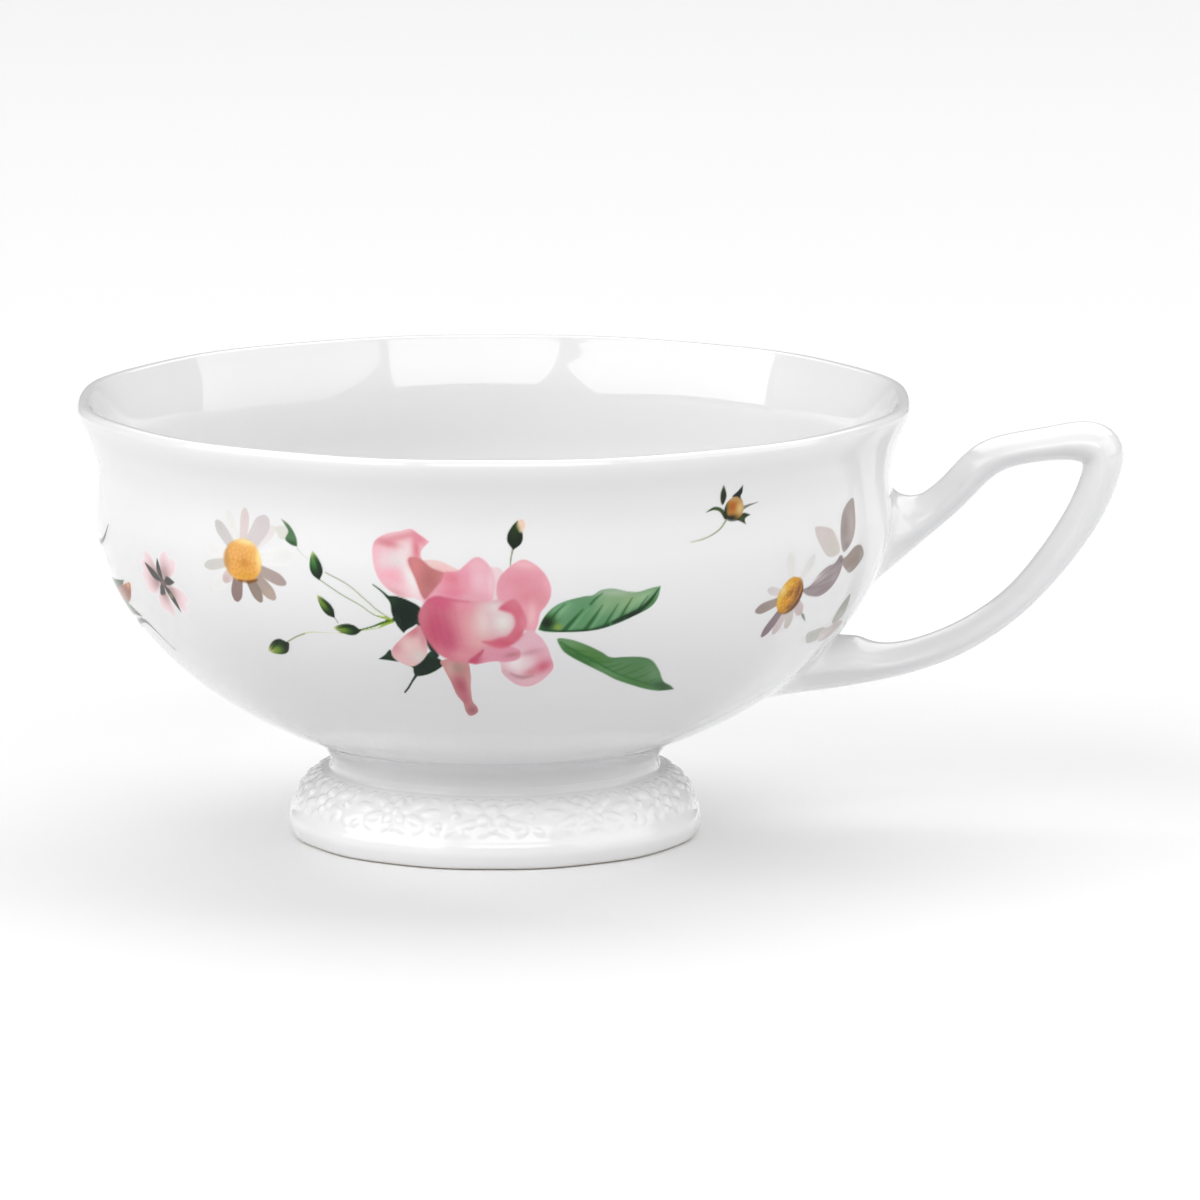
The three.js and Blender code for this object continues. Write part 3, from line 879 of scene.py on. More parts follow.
def paint_stems(p):
    """The thin stems and five buds to the left of the rose."""
    pale, olive = "c3c79d", "7f8c5c"
    p.stroke([(-12.2, 35.8), (-14, 37), (-15.6, 38.4), (-17.6, 40), (-20.5, 41.3)], 0.1, olive)
    p.stroke(
        [(-12.2, 35.7), (-14.4, 36.3), (-16.2, 37.5), (-18.4, 38.6), (-21.3, 40.3)],
        0.11,
        olive,
    )
    p.stroke([(-13, 36.2), (-15, 37.3), (-16.8, 38.6), (-18.4, 39.8)], 0.08, "c9d0a4", strength=0.7)
    p.stroke([(-12.4, 35.4), (-14.2, 34.6), (-16.6, 34.1)], 0.1, "b6c48a")
    p.stroke(
        [(-16.8, 33.8), (-20, 33.5), (-23, 33.4), (-25, 33), (-27.8, 31.7)],
        [0.06, 0.08, 0.1, 0.12, 0.12],
        pale,
    )
    p.stroke([(-24.8, 33), (-26.4, 32.4), (-27.9, 31.6)], 0.1, "8d9670")
    p.stroke(
        [(-12, 35.8), (-13.5, 35.3), (-15, 34.7), (-16.7, 34.2)],
        [0.24, 0.2, 0.13, 0.11],
        "53702b",
    )
    p.stroke([(-12.1, 35.5), (-13.4, 35.0), (-14, 34.6)], [0.14, 0.16, 0.06], "93ae3c")
    p.stroke([(-12.3, 35.9), (-13.4, 36.1), (-14.2, 36.3)], [0.16, 0.14, 0.05], "a3b958")
    p.stroke([(-19.5, 34.9), (-20, 35.9)], 0.1, "5b6b50")
    p.bud((-16.4, 34.1), (-20.5, 34.2), 0.78)
    p.bud((-19.8, 35.5), (-22, 38.5), 0.78)
    p.bud((-21.4, 40.2), (-22.3, 43.9), 0.9, dark="123517", light="5b8a50", cap="c3cc8c")
    p.bud((-27.6, 31.5), (-31.8, 29.9), 1.02, dark="132c0d", light="86a043", cap="e2d9b4")


def paint_leaves(p):
    """The two large leaves to the right of the rose."""
    lower = p.petal(
        [
            (8.5, 33.4), (10.2, 33.3), (12.4, 32.5), (14.6, 31.4), (16, 30.6), (18, 30.5),
            (20.4, 30.3), (22.2, 29.7), (23.9, 28.2), (25.4, 26.5), (27.2, 25.6), (28.3, 24.9),
            (28.3, 24.9), (25.6, 24.9), (23, 25.4), (20.4, 26.2), (17.6, 27.2), (15.2, 28.4),
            (12.6, 29.7), (10.4, 30.9), (9.2, 31.9),
        ],
        "5b805a",
        (10.6, 32.5, 2.4, 0.7, -25, "7fa17c", 0.8),
        (13.2, 30.9, 3.2, 0.8, -28, "547e43", 0.8),
        (12.0, 30.4, 3.6, 0.45, -31, "426b3d", 0.7),
        (18.0, 29.6, 2.2, 0.7, 8, "628862", 0.8),
        (20.4, 28.6, 3.0, 1.2, -15, "5a8056", 0.9),
        (23.4, 27.6, 2.0, 0.9, -45, "6c9069", 0.7),
        (20.6, 26.6, 4.4, 0.5, -17, "4c7842", 0.8),
        (25.8, 25.6, 1.9, 0.6, -18, "35573a", 0.95),
        (16.2, 28.5, 2.6, 0.4, -24, "6f9a6c", 0.6),
    )
    for foot, end in (
        ((9.6, 32.2), (12.6, 31.5)),
        ((11.2, 31.2), (14.6, 30.4)),
        ((13.2, 30.2), (16.4, 29.9)),
        ((15.4, 29.1), (17.8, 29.6)),
        ((16.8, 28.5), (19.4, 29.4)),
        ((18.6, 27.9), (21.4, 28.9)),
        ((20.4, 27.2), (22.8, 28)),
        ((22.4, 26.5), (24, 26.9)),
    ):
        middle = ((foot[0] + end[0]) / 2 + 0.1, (foot[1] + end[1]) / 2 - 0.12)
        p.stroke([foot, middle, end], [0.12, 0.12, 0.04], "456f3f", 0.3, 0.6, lower)
    p.stroke(
        [(9, 32.9), (11.6, 31.3), (14.4, 29.8), (17.4, 28.2), (20.6, 27), (24, 25.9), (27.6, 25.2)],
        [0.1, 0.14, 0.13, 0.12, 0.1, 0.08, 0.04], "3f6a3f", 0.24, 0.75, lower,
    )
    upper = p.petal(
        [
            (6, 34.6), (6, 34.6), (6.6, 36.2), (7.8, 37.6), (9.4, 38.4), (11.6, 38.9), (12.6, 39),
            (13.6, 39.6), (15.2, 39.7), (17.2, 39.2), (18.6, 39.1), (20, 39.4), (21.5, 39.6),
            (21.5, 39.6), (21.2, 38), (20.2, 36.8), (18, 35.8), (16, 35), (13.8, 34.4),
            (11.6, 34.2), (9, 34.2), (7, 34.3),
        ],
        "6a9470",
        (15.4, 39.1, 2.6, 0.6, -4, "b3bfb0", 0.95),
        (14.4, 37.9, 2.0, 1.2, 40, "8fae86", 0.8),
        (17.2, 38, 1.8, 1.2, 30, "93ad84", 0.85),
        (19.6, 38.4, 1.6, 0.7, 25, "9dbb95", 0.9),
        (11.4, 36.3, 1.8, 0.9, 50, "5f9166", 0.8),
        (8.6, 37.2, 1.4, 0.8, 30, "7fae85", 0.8),
        (13.4, 35.4, 2.0, 0.7, 20, "618f67", 0.8),
        (18.0, 36.1, 1.5, 0.42, 20, "12291a", 1.0),
        (15.2, 35.1, 2.2, 0.3, 18, "25452a", 0.8),
        (20.4, 37.6, 1.0, 0.7, 50, "4d7a4b", 0.8),
        (11.0, 34.3, 2.4, 0.25, 2, "24502f", 0.8),
        (7.1, 35.5, 1.0, 0.95, 20, "16300a", 1.0),
        (8.5, 34.9, 0.5, 0.45, 0, "8fa24a", 0.8),
    )
    for foot, bend, end, wide in (
        ((9.2, 34.3), (10.2, 35.6), (11.5, 37.2), 0.3),
        ((11.9, 34.4), (12.8, 35.8), (13.9, 37.6), 0.26),
        ((14.4, 34.9), (15.1, 36.2), (15.9, 37.6), 0.14),
        ((16.2, 35.4), (16.9, 36.9), (17.7, 38.3), 0.18),
        ((18.4, 36.2), (19, 37.3), (19.8, 38.4), 0.12),
        ((7.6, 36), (8.3, 37), (9.2, 37.9), 0.14),
        ((12.4, 37.8), (13, 38.5), (13.8, 39.1), 0.14),
    ):
        p.stroke([foot, bend, end], [wide, wide * 0.8, 0.04], "27532f", 0.34, 0.7, upper)
        light = [(u + 0.75, v + 0.1) for u, v in (foot, bend, end)]
        p.stroke(light, [0.12, 0.16, 0.05], "8db38a", 0.35, 0.4, upper)
    p.stroke(
        [(15.4, 35.3), (17, 35.9), (18.6, 36.5), (20, 37.6), (21.2, 39.2)],
        [0.12, 0.26, 0.3, 0.22, 0.06], "1b3c20", 0.3, 0.85, upper,
    )
    p.stroke(
        [(6.4, 34.7), (9, 34.35), (12, 34.35), (15, 34.9)], [0.1, 0.16, 0.16, 0.12],
        "1f4526", 0.25, 0.7, upper,
    )


def paint_sepals(p):
    """The dark sepals between the rose and its stems."""
    deep = "0c2c19"
    p.stroke([(-12.4, 38.6), (-13.2, 39.4), (-14.3, 40.2)], [0.26, 0.18, 0.12], "47604f")
    p.petal(
        [
            (-12.9, 38.9), (-12.9, 38.9), (-11.4, 38.9), (-9.9, 38.4), (-8.5, 37.5), (-8.5, 36),
            (-9.4, 35.1), (-10.4, 34.5), (-10.9, 34), (-10.9, 34), (-11.7, 35.1), (-12.2, 36.6),
            (-12.3, 37.9),
        ],
        deep,
        (-12, 38.3, 0.9, 0.7, 0, "2a5734", 0.7),
        (-10.4, 36.8, 1.0, 1.1, 0, "0a2416", 0.9),
        (-11.6, 35.6, 0.4, 1, 0, "1d4a30", 0.6),
    )
    p.stroke(
        [(-9, 35.6), (-8.2, 34.2), (-7.8, 32.8), (-7, 31.2)],
        [0.3, 0.34, 0.42, 0.4],
        "27382e",
        0.3,
    )
    p.petal(
        [
            (-15, 30.3), (-15, 30.3), (-13.9, 31), (-13.0, 31.8), (-12.7, 31), (-12.2, 30.2),
            (-11, 29.6), (-10.4, 29.3), (-10.4, 28.6), (-10.0, 28.1), (-8.2, 28.5), (-6.5, 29.5),
            (-6.2, 30.3), (-7, 31), (-7.7, 31.7), (-8.6, 30.9), (-9.6, 30), (-10.6, 29.8),
            (-11.8, 30), (-13.4, 30.2),
        ],
        "12371f",
        (-13.3, 30.9, 0.6, 0.5, 0, "234a30", 0.8),
        (-8.2, 29.8, 1.8, 0.9, 25, deep, 0.9),
        (-7.7, 31.2, 0.6, 0.5, 0, "1f5236", 0.7),
    )
    p.stroke(
        [(-10, 28.4), (-10.8, 27.4), (-11.5, 26.5), (-12.3, 25.7)],
        [0.24, 0.17, 0.17, 0.15],
        "2b4034",
    )


def paint_rose(p):
    """The open rose, from its back petals to the curled ones in front."""
    # small lower petal at the left
    p.petal(
        [
            (-8.7, 35.1), (-9.9, 34.5), (-11.3, 33.4), (-12.7, 31.9), (-12.8, 30.8), (-12, 30.1),
            (-10.7, 29.5), (-9.5, 29.9), (-8.4, 31), (-8.0, 32.6),
        ],
        "dcb5b6",
        (-9.6, 34.3, 1.3, 0.7, 35, "c87d88", 0.95),
        (-12.0, 32.2, 0.8, 1.1, -40, "d0949c", 0.9),
        (-10.4, 32.4, 1.1, 1.1, 0, "e2c3c0", 0.8),
        (-9.3, 30.9, 1.0, 0.9, 0, "d3cac5", 0.9),
        (-8.5, 33.4, 0.5, 1.2, 10, "c98a92", 0.7),
    )
    # large curled petal, top left
    p.petal(
        [
            (-14.4, 44.4), (-14, 45.7), (-12.6, 46.6), (-10.8, 47), (-9.6, 47.3), (-8.6, 46.7),
            (-7.2, 45.7), (-7.2, 45.7), (-8, 44.9), (-8.3, 44.2), (-8, 43.4), (-7.2, 42.6),
            (-7.8, 40.4), (-8.0, 38.2), (-9.2, 38.6), (-10.6, 38.7), (-12, 39.3), (-13.3, 40.5),
            (-14.1, 42.2),
        ],
        "ecc3cb",
        (-13.9, 43.6, 0.7, 2.4, 5, "efb6c2", 0.8),
        (-11.4, 43.4, 1.4, 1.0, 10, "e3dadb", 0.95),
        (-11.9, 41.4, 1.7, 0.95, -8, "f0adbc", 0.95),
        (-12.5, 40.1, 1.2, 0.6, -45, "eab3bd", 0.8),
        (-11.3, 39.3, 1.1, 0.4, -20, "d9a1a4", 0.7),
        (-9.5, 41.6, 0.95, 3.0, 14, "f0e8e7", 1.0),
        (-10.4, 44.6, 0.8, 1.2, 20, "ecdcdd", 0.9),
        (-12.9, 43.2, 0.9, 0.9, 0, "ead2d6", 0.6),
        (-10.8, 46.2, 3.2, 0.5, 14, "df9aa2", 0.95),
        (-12.4, 45.4, 1.4, 0.5, -12, "d88c95", 0.95),
        (-8.4, 46.0, 1.0, 0.7, -40, "e08d9b", 0.95),
        (-8.9, 44.6, 0.45, 1.5, 6, "d97f8b", 0.9),
        (-9.3, 43.2, 0.6, 0.8, 0, "e0949b", 0.8),
        soft=0.3,
    )
    # pale petal behind, and the shaded hollow beside it
    p.petal(
        [(-8.2, 43.3), (-6.4, 43.5), (-4.8, 42.9), (-3.4, 42), (-4.6, 41.3), (-6.6, 41.6)],
        "ebccca",
        (-5.2, 42.4, 1.4, 0.5, -20, "efc4c4", 0.8),
        (-6.4, 41.9, 1.2, 0.5, -15, "d99a98", 0.7),
        soft=0.3,
    )
    p.petal(
        [
            (-9.9, 43.5), (-8.4, 43.6), (-7.0, 42.5), (-5.2, 41.9), (-3.4, 41.7), (-3.4, 39.8),
            (-5.4, 38.8), (-7.6, 38.4), (-8.3, 39), (-9, 41),
        ],
        "c98284",
        (-8.7, 42.3, 0.7, 1.5, 15, "d98a8c", 0.9),
        (-7.2, 41.0, 1.4, 1.7, 0, "b67573", 0.95),
        (-4.8, 40.9, 1.1, 1.1, 0, "df8f9b", 0.9),
        (-7.6, 38.9, 1, 0.6, 0, "b9777c", 0.7),
        soft=0.3,
    )
    # pale hollow between the top petals
    p.petal(
        [(-0.2, 42.4), (0.6, 42.7), (1.5, 42.4), (2.4, 40.6), (2.6, 38), (0.4, 37.4), (-1, 38.6)],
        "e6d3d5",
        (0.9, 41.6, 0.5, 1.4, 0, "ead0d4", 0.8),
        (1.2, 39.0, 0.9, 1.1, 0, "e0d6d6", 0.9),
        soft=0.5,
    )
    # top petal
    p.petal(
        [
            (-5.4, 42), (-4.7, 42.1), (-3.9, 42.2), (-3, 43), (-2, 43.8), (-1.2, 43.9),
            (-0.3, 43.3), (0.3, 42.3), (0.6, 41), (0.5, 39.4), (0, 38.2), (-2.6, 37.8),
            (-5.6, 37.6), (-8, 38), (-7.6, 38.8), (-6.6, 40), (-5.8, 41),
        ],
        "e5a6b4",
        (-1.3, 43.0, 1.4, 0.8, 0, "eab3bf", 0.9),
        (-1.2, 41.0, 1.3, 1.6, 0, "e9bcc7", 0.95),
        (0.2, 40.6, 0.4, 1.8, 0, "ecc9d1", 0.8),
        (-4.6, 41.2, 1.3, 1.0, -20, "de8494", 0.95),
        (-4.4, 39.4, 1.5, 0.9, 0, "de8598", 0.95),
        (-2.9, 41.2, 0.6, 1.6, 5, "e59aab", 0.6),
        (-1.8, 38.8, 1.6, 0.6, 0, "dfa6b2", 0.8),
        soft=0.45,
    )
    # stem petal that hangs below
    p.petal(
        [
            (-6.4, 30.5), (-6.2, 29.2), (-5.5, 27.4), (-4.9, 25.5), (-4.1, 24.3), (-3.9, 23.1),
            (-3.4, 22.3), (-2.6, 22.4), (-1.9, 23), (-2, 23.8), (-2.6, 24.7), (-2.7, 26.6),
            (-2.6, 28.6), (-3.2, 30.6),
        ],
        "c08c8c",
        (-5.2, 29.2, 0.7, 1.1, 0, "cfa9a2", 0.9),
        (-4.2, 29.6, 0.9, 0.9, 0, "a98a84", 0.95),
        (-4.1, 26.8, 0.9, 1.5, 20, "ad5f6b", 0.95),
        (-3.6, 24.9, 0.6, 1.0, 15, "b86c78", 0.9),
        (-2.8, 23.2, 0.8, 0.7, 0, "a0676f", 0.95),
        (-2.9, 27.4, 0.35, 1.6, 0, "c79896", 0.8),
        (-3.4, 30.2, 0.8, 0.5, 0, "c88f90", 0.8),
    )
    # right petal
    p.petal(
        [
            (0.9, 40.6), (1.5, 41.8), (2.6, 42.9), (4.0, 43.6), (5.4, 43.1), (6.6, 42), (7.4, 40.5),
            (7.5, 39), (7, 37.8), (6.3, 36.8), (6.0, 35.2), (5.4, 34), (4.4, 34.6), (3.2, 37.2),
            (1.8, 38), (0.9, 38.9),
        ],
        "e2a0ad",
        (4.2, 43.0, 2.2, 0.6, -8, "edb8c1", 0.9),
        (3.6, 40.8, 2.0, 1.1, -5, "dd92a0", 0.9),
        (4.8, 39.0, 1.8, 1.0, 10, "da8b97", 0.9),
        (6.2, 38.3, 0.9, 1.0, 30, "d9949d", 0.8),
        (1.6, 40.0, 0.6, 1.4, 0, "dd9bab", 0.6),
        (5.2, 36.6, 0.5, 1.4, 0, "e8b5bb", 0.95),
        (7.0, 40.6, 0.5, 1.2, 10, "e8a9b4", 0.8),
        soft=0.3,
    )
    # lower right curled petal
    p.petal(
        [
            (0.6, 31.4), (1.3, 30), (1.5, 28.8), (2.4, 27.8), (3.8, 26.9), (5.4, 26.7), (6.9, 27.4),
            (8.1, 28.6), (8.5, 29.6), (8, 31), (7.4, 32.4), (6.4, 33.8), (5, 34.6), (3.2, 33.4),
            (1.6, 32.4),
        ],
        "dcb0bb",
        (5.2, 32.6, 1.8, 1.3, 20, "dbb3bf", 0.8),
        (6.4, 31.2, 1.6, 0.8, -35, "d7a3ae", 0.8),
        (3.4, 30.2, 1.7, 1.3, -25, "e6dddd", 1.0),
        (4.9, 29.9, 1.0, 0.7, -10, "e0cdd0", 0.8),
        (7.0, 29.6, 1.25, 0.8, 25, "cb6e80", 1.0),
        (5.5, 28.8, 1.0, 0.55, 15, "cd8791", 0.85),
        (5.2, 31.6, 1.4, 0.35, 12, "c793a0", 0.7),
        (2.6, 28.4, 1.6, 0.55, -38, "d2a8b1", 0.9),
        (6.2, 27.3, 1.8, 0.4, 15, "dab0b8", 0.8),
        soft=0.3,
    )
    p.stroke(
        [(2.7, 28.7), (3.5, 28.3), (4.5, 28.1), (5.8, 28.3)], [0.06, 0.2, 0.24, 0.05],
        "ad8488", 0.45, 0.75,
    )
    # fold at the bottom
    p.petal(
        [
            (-3.2, 30.5), (-2.2, 29.9), (-1.2, 30.0), (0.4, 30.3), (2.4, 30.3), (3.8, 30.8),
            (3.8, 31.9), (2, 32.6), (0, 32.8), (-1.6, 32.2),
        ],
        "d796a6",
        (1.4, 31.0, 1.8, 0.7, 0, "d593a4", 0.8),
        (2.9, 31.3, 1.0, 0.35, 10, "b47c82", 0.8),
        (-2.0, 30.4, 0.9, 0.5, 20, "bd5a72", 0.95),
        soft=0.3,
    )
    # heart of the rose
    p.petal(
        [
            (-8.9, 36), (-8.6, 37.3), (-7.8, 38.4), (-6.6, 39), (-5, 38.7), (-3.4, 38.5),
            (-1.8, 38.4), (0, 38.4), (1.4, 38.6), (2.6, 37.8), (3.7, 36.4), (3.9, 34.6),
            (2.9, 33.0), (0.4, 32.5), (-1, 32), (-1.8, 31), (-3, 30.4), (-4.6, 30.3), (-6.2, 30.9),
            (-7.4, 32.2), (-8.4, 34),
        ],
        "d08a95",
        (-6.9, 34.8, 2.0, 3.4, 0, "c05e73", 1.0),
        (-5.4, 33.4, 1.5, 2.2, 10, "c1607a", 0.9),
        (-6.0, 38.1, 1.9, 1.0, -5, "cc6480", 0.95),
        (-8.3, 36.9, 0.6, 1.3, 10, "c87486", 0.9),
        (-3.4, 35.6, 0.9, 3.2, 4, "d98e9a", 0.75),
        (-2.2, 34.8, 1.1, 2.6, 8, "dda5a9", 0.9),
        (-2.9, 37.8, 1.3, 0.8, -5, "de94a3", 0.9),
        (-0.9, 35.6, 1.1, 2.4, 5, "e1c4c4", 0.95),
        (1.6, 35.7, 1.9, 2.0, 0, "dfdad7", 1.0),
        (0.6, 37.6, 1.4, 0.9, -5, "e0d2d2", 0.9),
        (-1.3, 33.0, 1.2, 0.6, 5, "dca6a6", 0.8),
        (-3.4, 31.2, 1.6, 0.7, 0, "d79199", 0.9),
        (-6.5, 31.7, 1.0, 0.7, -35, "cf7c8a", 0.7),
        soft=0.45,
    )
    p.stroke(
        [(-7.6, 38.4), (-6.2, 38.8), (-4.4, 38.5), (-2.6, 38.3)], [0.1, 0.18, 0.14, 0.05],
        "c8607a", 0.5, 0.6,
    )
    # dark fold round the pale middle
    p.petal(
        [
            (1.1, 37.4), (1.9, 38.2), (2.9, 38.6), (3.6, 38.1), (4.1, 37.2), (4.5, 36.2),
            (4.55, 35.2), (4.2, 34.0), (3.3, 33.0), (2.2, 32.3), (1.0, 32.2), (-0.4, 32.7),
            (-1, 33.1), (0.2, 33.25), (1.2, 33.6), (2.1, 33.8), (2.7, 34.4), (3.1, 35.2), (3.1, 36),
            (2.7, 36.7), (2, 37.0),
        ],
        "cf7485",
        (1.6, 37.4, 0.7, 0.5, 0, "cb6a7f", 0.8),
        (3.2, 38.0, 0.9, 0.5, -20, "d27d8c", 0.8),
        (4.2, 35.6, 0.5, 1.3, 0, "d88a96", 0.7),
        (1.8, 32.9, 1.5, 0.5, -5, "c96578", 0.95),
        (3.6, 33.8, 0.8, 0.6, 45, "c96b7b", 0.8),
        soft=0.55,
    )
    p.stroke([(-0.9, 31.9), (-1.5, 31.2), (-2.6, 30.4)], [0.12, 0.3, 0.24], "bb5a71", 0.4, 0.85)
    for shift, amount in ((0, 0.14), (0.9, 0.16), (1.8, 0.12), (3.2, 0.1)):
        p.stroke(
            [(-7.6 + shift, 37.6), (-7.2 + shift, 35), (-6.7 + shift, 32.4)],
            [0.05, 0.16, 0.05], "aa4a62", 0.6, amount,
        )


def paint_rose_spray(p):
    """The rose with its stems, buds, leaves and sepals, and the bud above it."""
    paint_stems(p)
    paint_leaves(p)
    paint_sepals(p)
    p.stroke([(2.5, 42.8), (2.6, 43.8), (2.85, 44.9)], [0.12, 0.13, 0.16], "939b7b")
    paint_rose(p)
    p.bud((2.85, 44.7), (3.4, 48.4), 0.98, dark="11290f", light="2c4a1c", cap="3c4f24")
    p.petal(
        [(3.3, 47.4), (3.4, 48.2), (3.8, 48.6), (4.3, 48.3), (4.4, 47.6), (4.1, 47), (3.7, 46.9)],
        "ead2bb",
        (3.3, 47.2, 0.35, 0.6, 0, "6f7038", 0.9),
        (4.1, 48, 0.5, 0.5, 0, "efcdb8", 0.8),
        soft=0.45,
    )


def paint_daisy(p):
    """The daisy at the left, with a small leaf behind it."""
    disc = (-0.9, 41.8)
    for tip, width, base, edge, strength in (
        ((-6.6, 42.9), 0.95, "ecebe8", "e4e3de", 0.75),
        ((-5.9, 37.6), 0.85, "e3e2df", "dcdbd8", 0.7),
        ((-3.2, 48.0), 0.85, "e8e6e1", "dbdcd9", 0.8),
        ((6.7, 43.1), 1.2, "efedec", "e2e4e0", 0.8),
        ((3.9, 46.4), 0.9, "e6dfdd", "dcd5d2", 0.85),
        ((-4.0, 38.7), 0.7, "d9c5c2", "bfa5a4", 0.9),
        ((-5.1, 46.3), 0.82, "cdc8c7", "c4c2bf", 0.95),
        ((-7.0, 40.4), 0.72, "cfcbc6", "c6c4c0", 0.95),
        ((-0.4, 48.4), 0.72, "decfcd", "d3c6c5", 0.95),
        ((2.8, 47.6), 1.2, "d3cacb", "cdc4c6", 0.95),
        ((5.5, 39.4), 0.85, "b0a29b", "ad9c99", 1.0),
        ((3.6, 37.2), 0.95, "ab9c94", "b8a79d", 1.0),
        ((1.4, 36.6), 0.82, "93857b", "9a8b82", 1.0),
        ((-2.6, 36.3), 0.88, "94837f", "927d79", 1.0),
    ):
        p.long_petal(disc, tip, width, base, edge, strength)
    p.stroke([(7.2, 43.9), (8, 43.2), (8.9, 42.7)], [0.14, 0.1, 0.08], "c3c7bd", strength=0.8)
    p.petal(
        [(3.9, 46.3), (5.2, 46.6), (5.9, 45.8), (5.6, 44.9), (4.6, 44.9)],
        "cfcfc2",
        soft=0.5,
        strength=0.8,
    )
    p.petal(
        [
            (4.7, 47.5), (4.7, 47.5), (5.7, 47), (6.5, 46.2), (7.1, 45.1), (7.2, 44.1), (7.2, 44.1),
            (6.2, 44.3), (5.4, 44.9), (5.8, 45.9), (5.2, 46.8),
        ],
        "5d7a5c",
        (6.6, 45.2, 0.6, 0.8, 20, "5f8061", 0.8),
        (6.4, 44.5, 0.8, 0.3, -10, "3f5b40", 0.8),
        (5.2, 47.1, 0.5, 0.3, -35, "8b987c", 0.9),
    )
    p.spot(-0.9, 41.7, 2.78, 2.62, 0, "c79a62", 0.4)
    p.fill(
        p.shape(
            [
                (-3.5, 41.6), (-2.9, 43.4), (-1.2, 44.4), (0.7, 44.1), (1.9, 42.6), (1.9, 40.8),
                (0.7, 39.5), (-1.1, 39.1), (-2.8, 39.9),
            ],
            0.35,
        ),
        "e9ad62",
        (-0.3, 44.1, 2.0, 0.5, -5, "fae3a0", 0.95),
        (1.7, 42.4, 0.55, 1.6, 0, "f8e29a", 0.95),
        (-1.4, 42.5, 1.6, 1.1, 0, "e8a968", 0.8),
        (-0.5, 41.5, 0.8, 0.7, 0, "cf914e", 0.9),
        (-0.3, 39.9, 1.6, 0.5, 0, "d8a04a", 0.8),
        (-3.2, 41.6, 0.5, 1.6, 0, "bf9360", 0.8),
    )
    p.stroke([(-1.6, 39.2), (-0.3, 39.1), (1.2, 39.5)], [0.1, 0.22, 0.1], "7b4d1d", 0.35, 0.85)
    for u, v in seed_places((disc[0] + 0.1, disc[1] - 0.1), 46, 2.25):
        code = "f5cf86" if v > 41.8 else "c58a41"
        p.spot(u, v, 0.15, 0.15, 0, code, 0.14, 0.4)


def paint_blossom(p, u=-0.4, v=36.9):
    """A small blossom seen from behind: five pale petals and five dark sepals."""

    def place(turn, out, side=0.0):
        """A point of the blossom, wider than it is tall, out from its heart and to one side."""
        c, s = math.cos(math.radians(turn)), math.sin(math.radians(turn))
        return u + 1.3 * (out * c - side * s), v + 1.1 * (out * s + side * c)

    for turn in (142, 58, -32, -108, 188):
        p.petal(
            [
                place(turn, 0.6),
                place(turn, 2.6, 1.4),
                place(turn, 4.1, 1.0),
                place(turn, 3.9),
                place(turn, 4.2, -1.0),
                place(turn, 2.6, -1.4),
            ],
            "edd3d6",
            (*place(turn, 2.7), 1.7, 1.2, turn, "e6bdc5", 0.8),
            (*place(turn, 1.2), 1.5, 1.2, turn, "9c7270", 0.85),
            (*place(turn, 3.9), 1.1, 1.2, turn, "efd9dc", 0.8),
            soft=0.8,
            strength=0.9,
        )
    for turn, out in ((148, 3.3), (95, 2.7), (12, 2.2), (-62, 3.5), (232, 1.9)):
        points = [place(turn, 0.5), place(turn, out * 0.55, 0.15), place(turn, out)]
        p.stroke(points, [0.36, 0.6, 0.16], "2b221b", 0.3, 0.95)
        p.stroke(points[:2], [0.06, 0.08], "5a4a3a", 0.2, 0.6)
    p.spot(u, v, 0.85, 0.75, 0, "5e403e", 0.5, 0.9)
    p.spot(u + 1.1, v - 1.5, 0.6, 0.4, 20, "8f8a63", 0.4, 0.7)


def paint_edge_spray(p):
    """The tall sprig at the far left: an opening orange bud between two leaves."""
    p.stroke(
        [(-5, 39.2), (0, 38.8), (5, 39), (8.6, 40.2), (11, 42.2)],
        [0.16, 0.32, 0.36, 0.3, 0.12],
        "4a4c48",
        0.3,
        0.9,
    )
    p.leaf((12.8, 35.4), (-4.5, 33.6), 1.3, 1.1, "5d6a4c", "3c4a34", "8d9476", 7)
    p.petal(
        [
            (14.6, 35.4), (10, 34.2), (5, 33), (-1, 32.6), (-5, 32.2),
            (-1, 31.2), (5, 31.1), (10, 32), (13, 33.4),
        ],
        "a0603f",
        (0, 32, 4, 0.5, 3, "b87a55", 0.9),
        (6, 31.6, 3, 0.4, 5, "6b4032", 0.9),
        (11.4, 33.2, 1.6, 0.6, 20, "8b4f3a", 0.9),
        (13.6, 35, 0.9, 0.5, 20, "d9a77f", 0.8),
        soft=0.35,
    )
    p.leaf((13, 30.6), (-1, 29.4), -1.0, 1.0, "6b7363", "3f473b", "98a08c", 6)
    p.stroke(
        [(16.4, 27.4), (13, 30), (6, 28.6), (0, 27.6), (-2, 25)],
        [0.12, 0.36, 0.34, 0.42, 0.34],
        "363a34",
        0.4,
        0.92,
    )
    p.stroke([(19, 25.7), (17.8, 26.2), (16.4, 27.4)], [0.1, 0.22, 0.14], "4f534d", 0.3, 0.9)
    p.bud((-1.6, 26.4), (-2.4, 23.4), 0.7, dark="2f332f", light="5c6454", cap="7f8578")


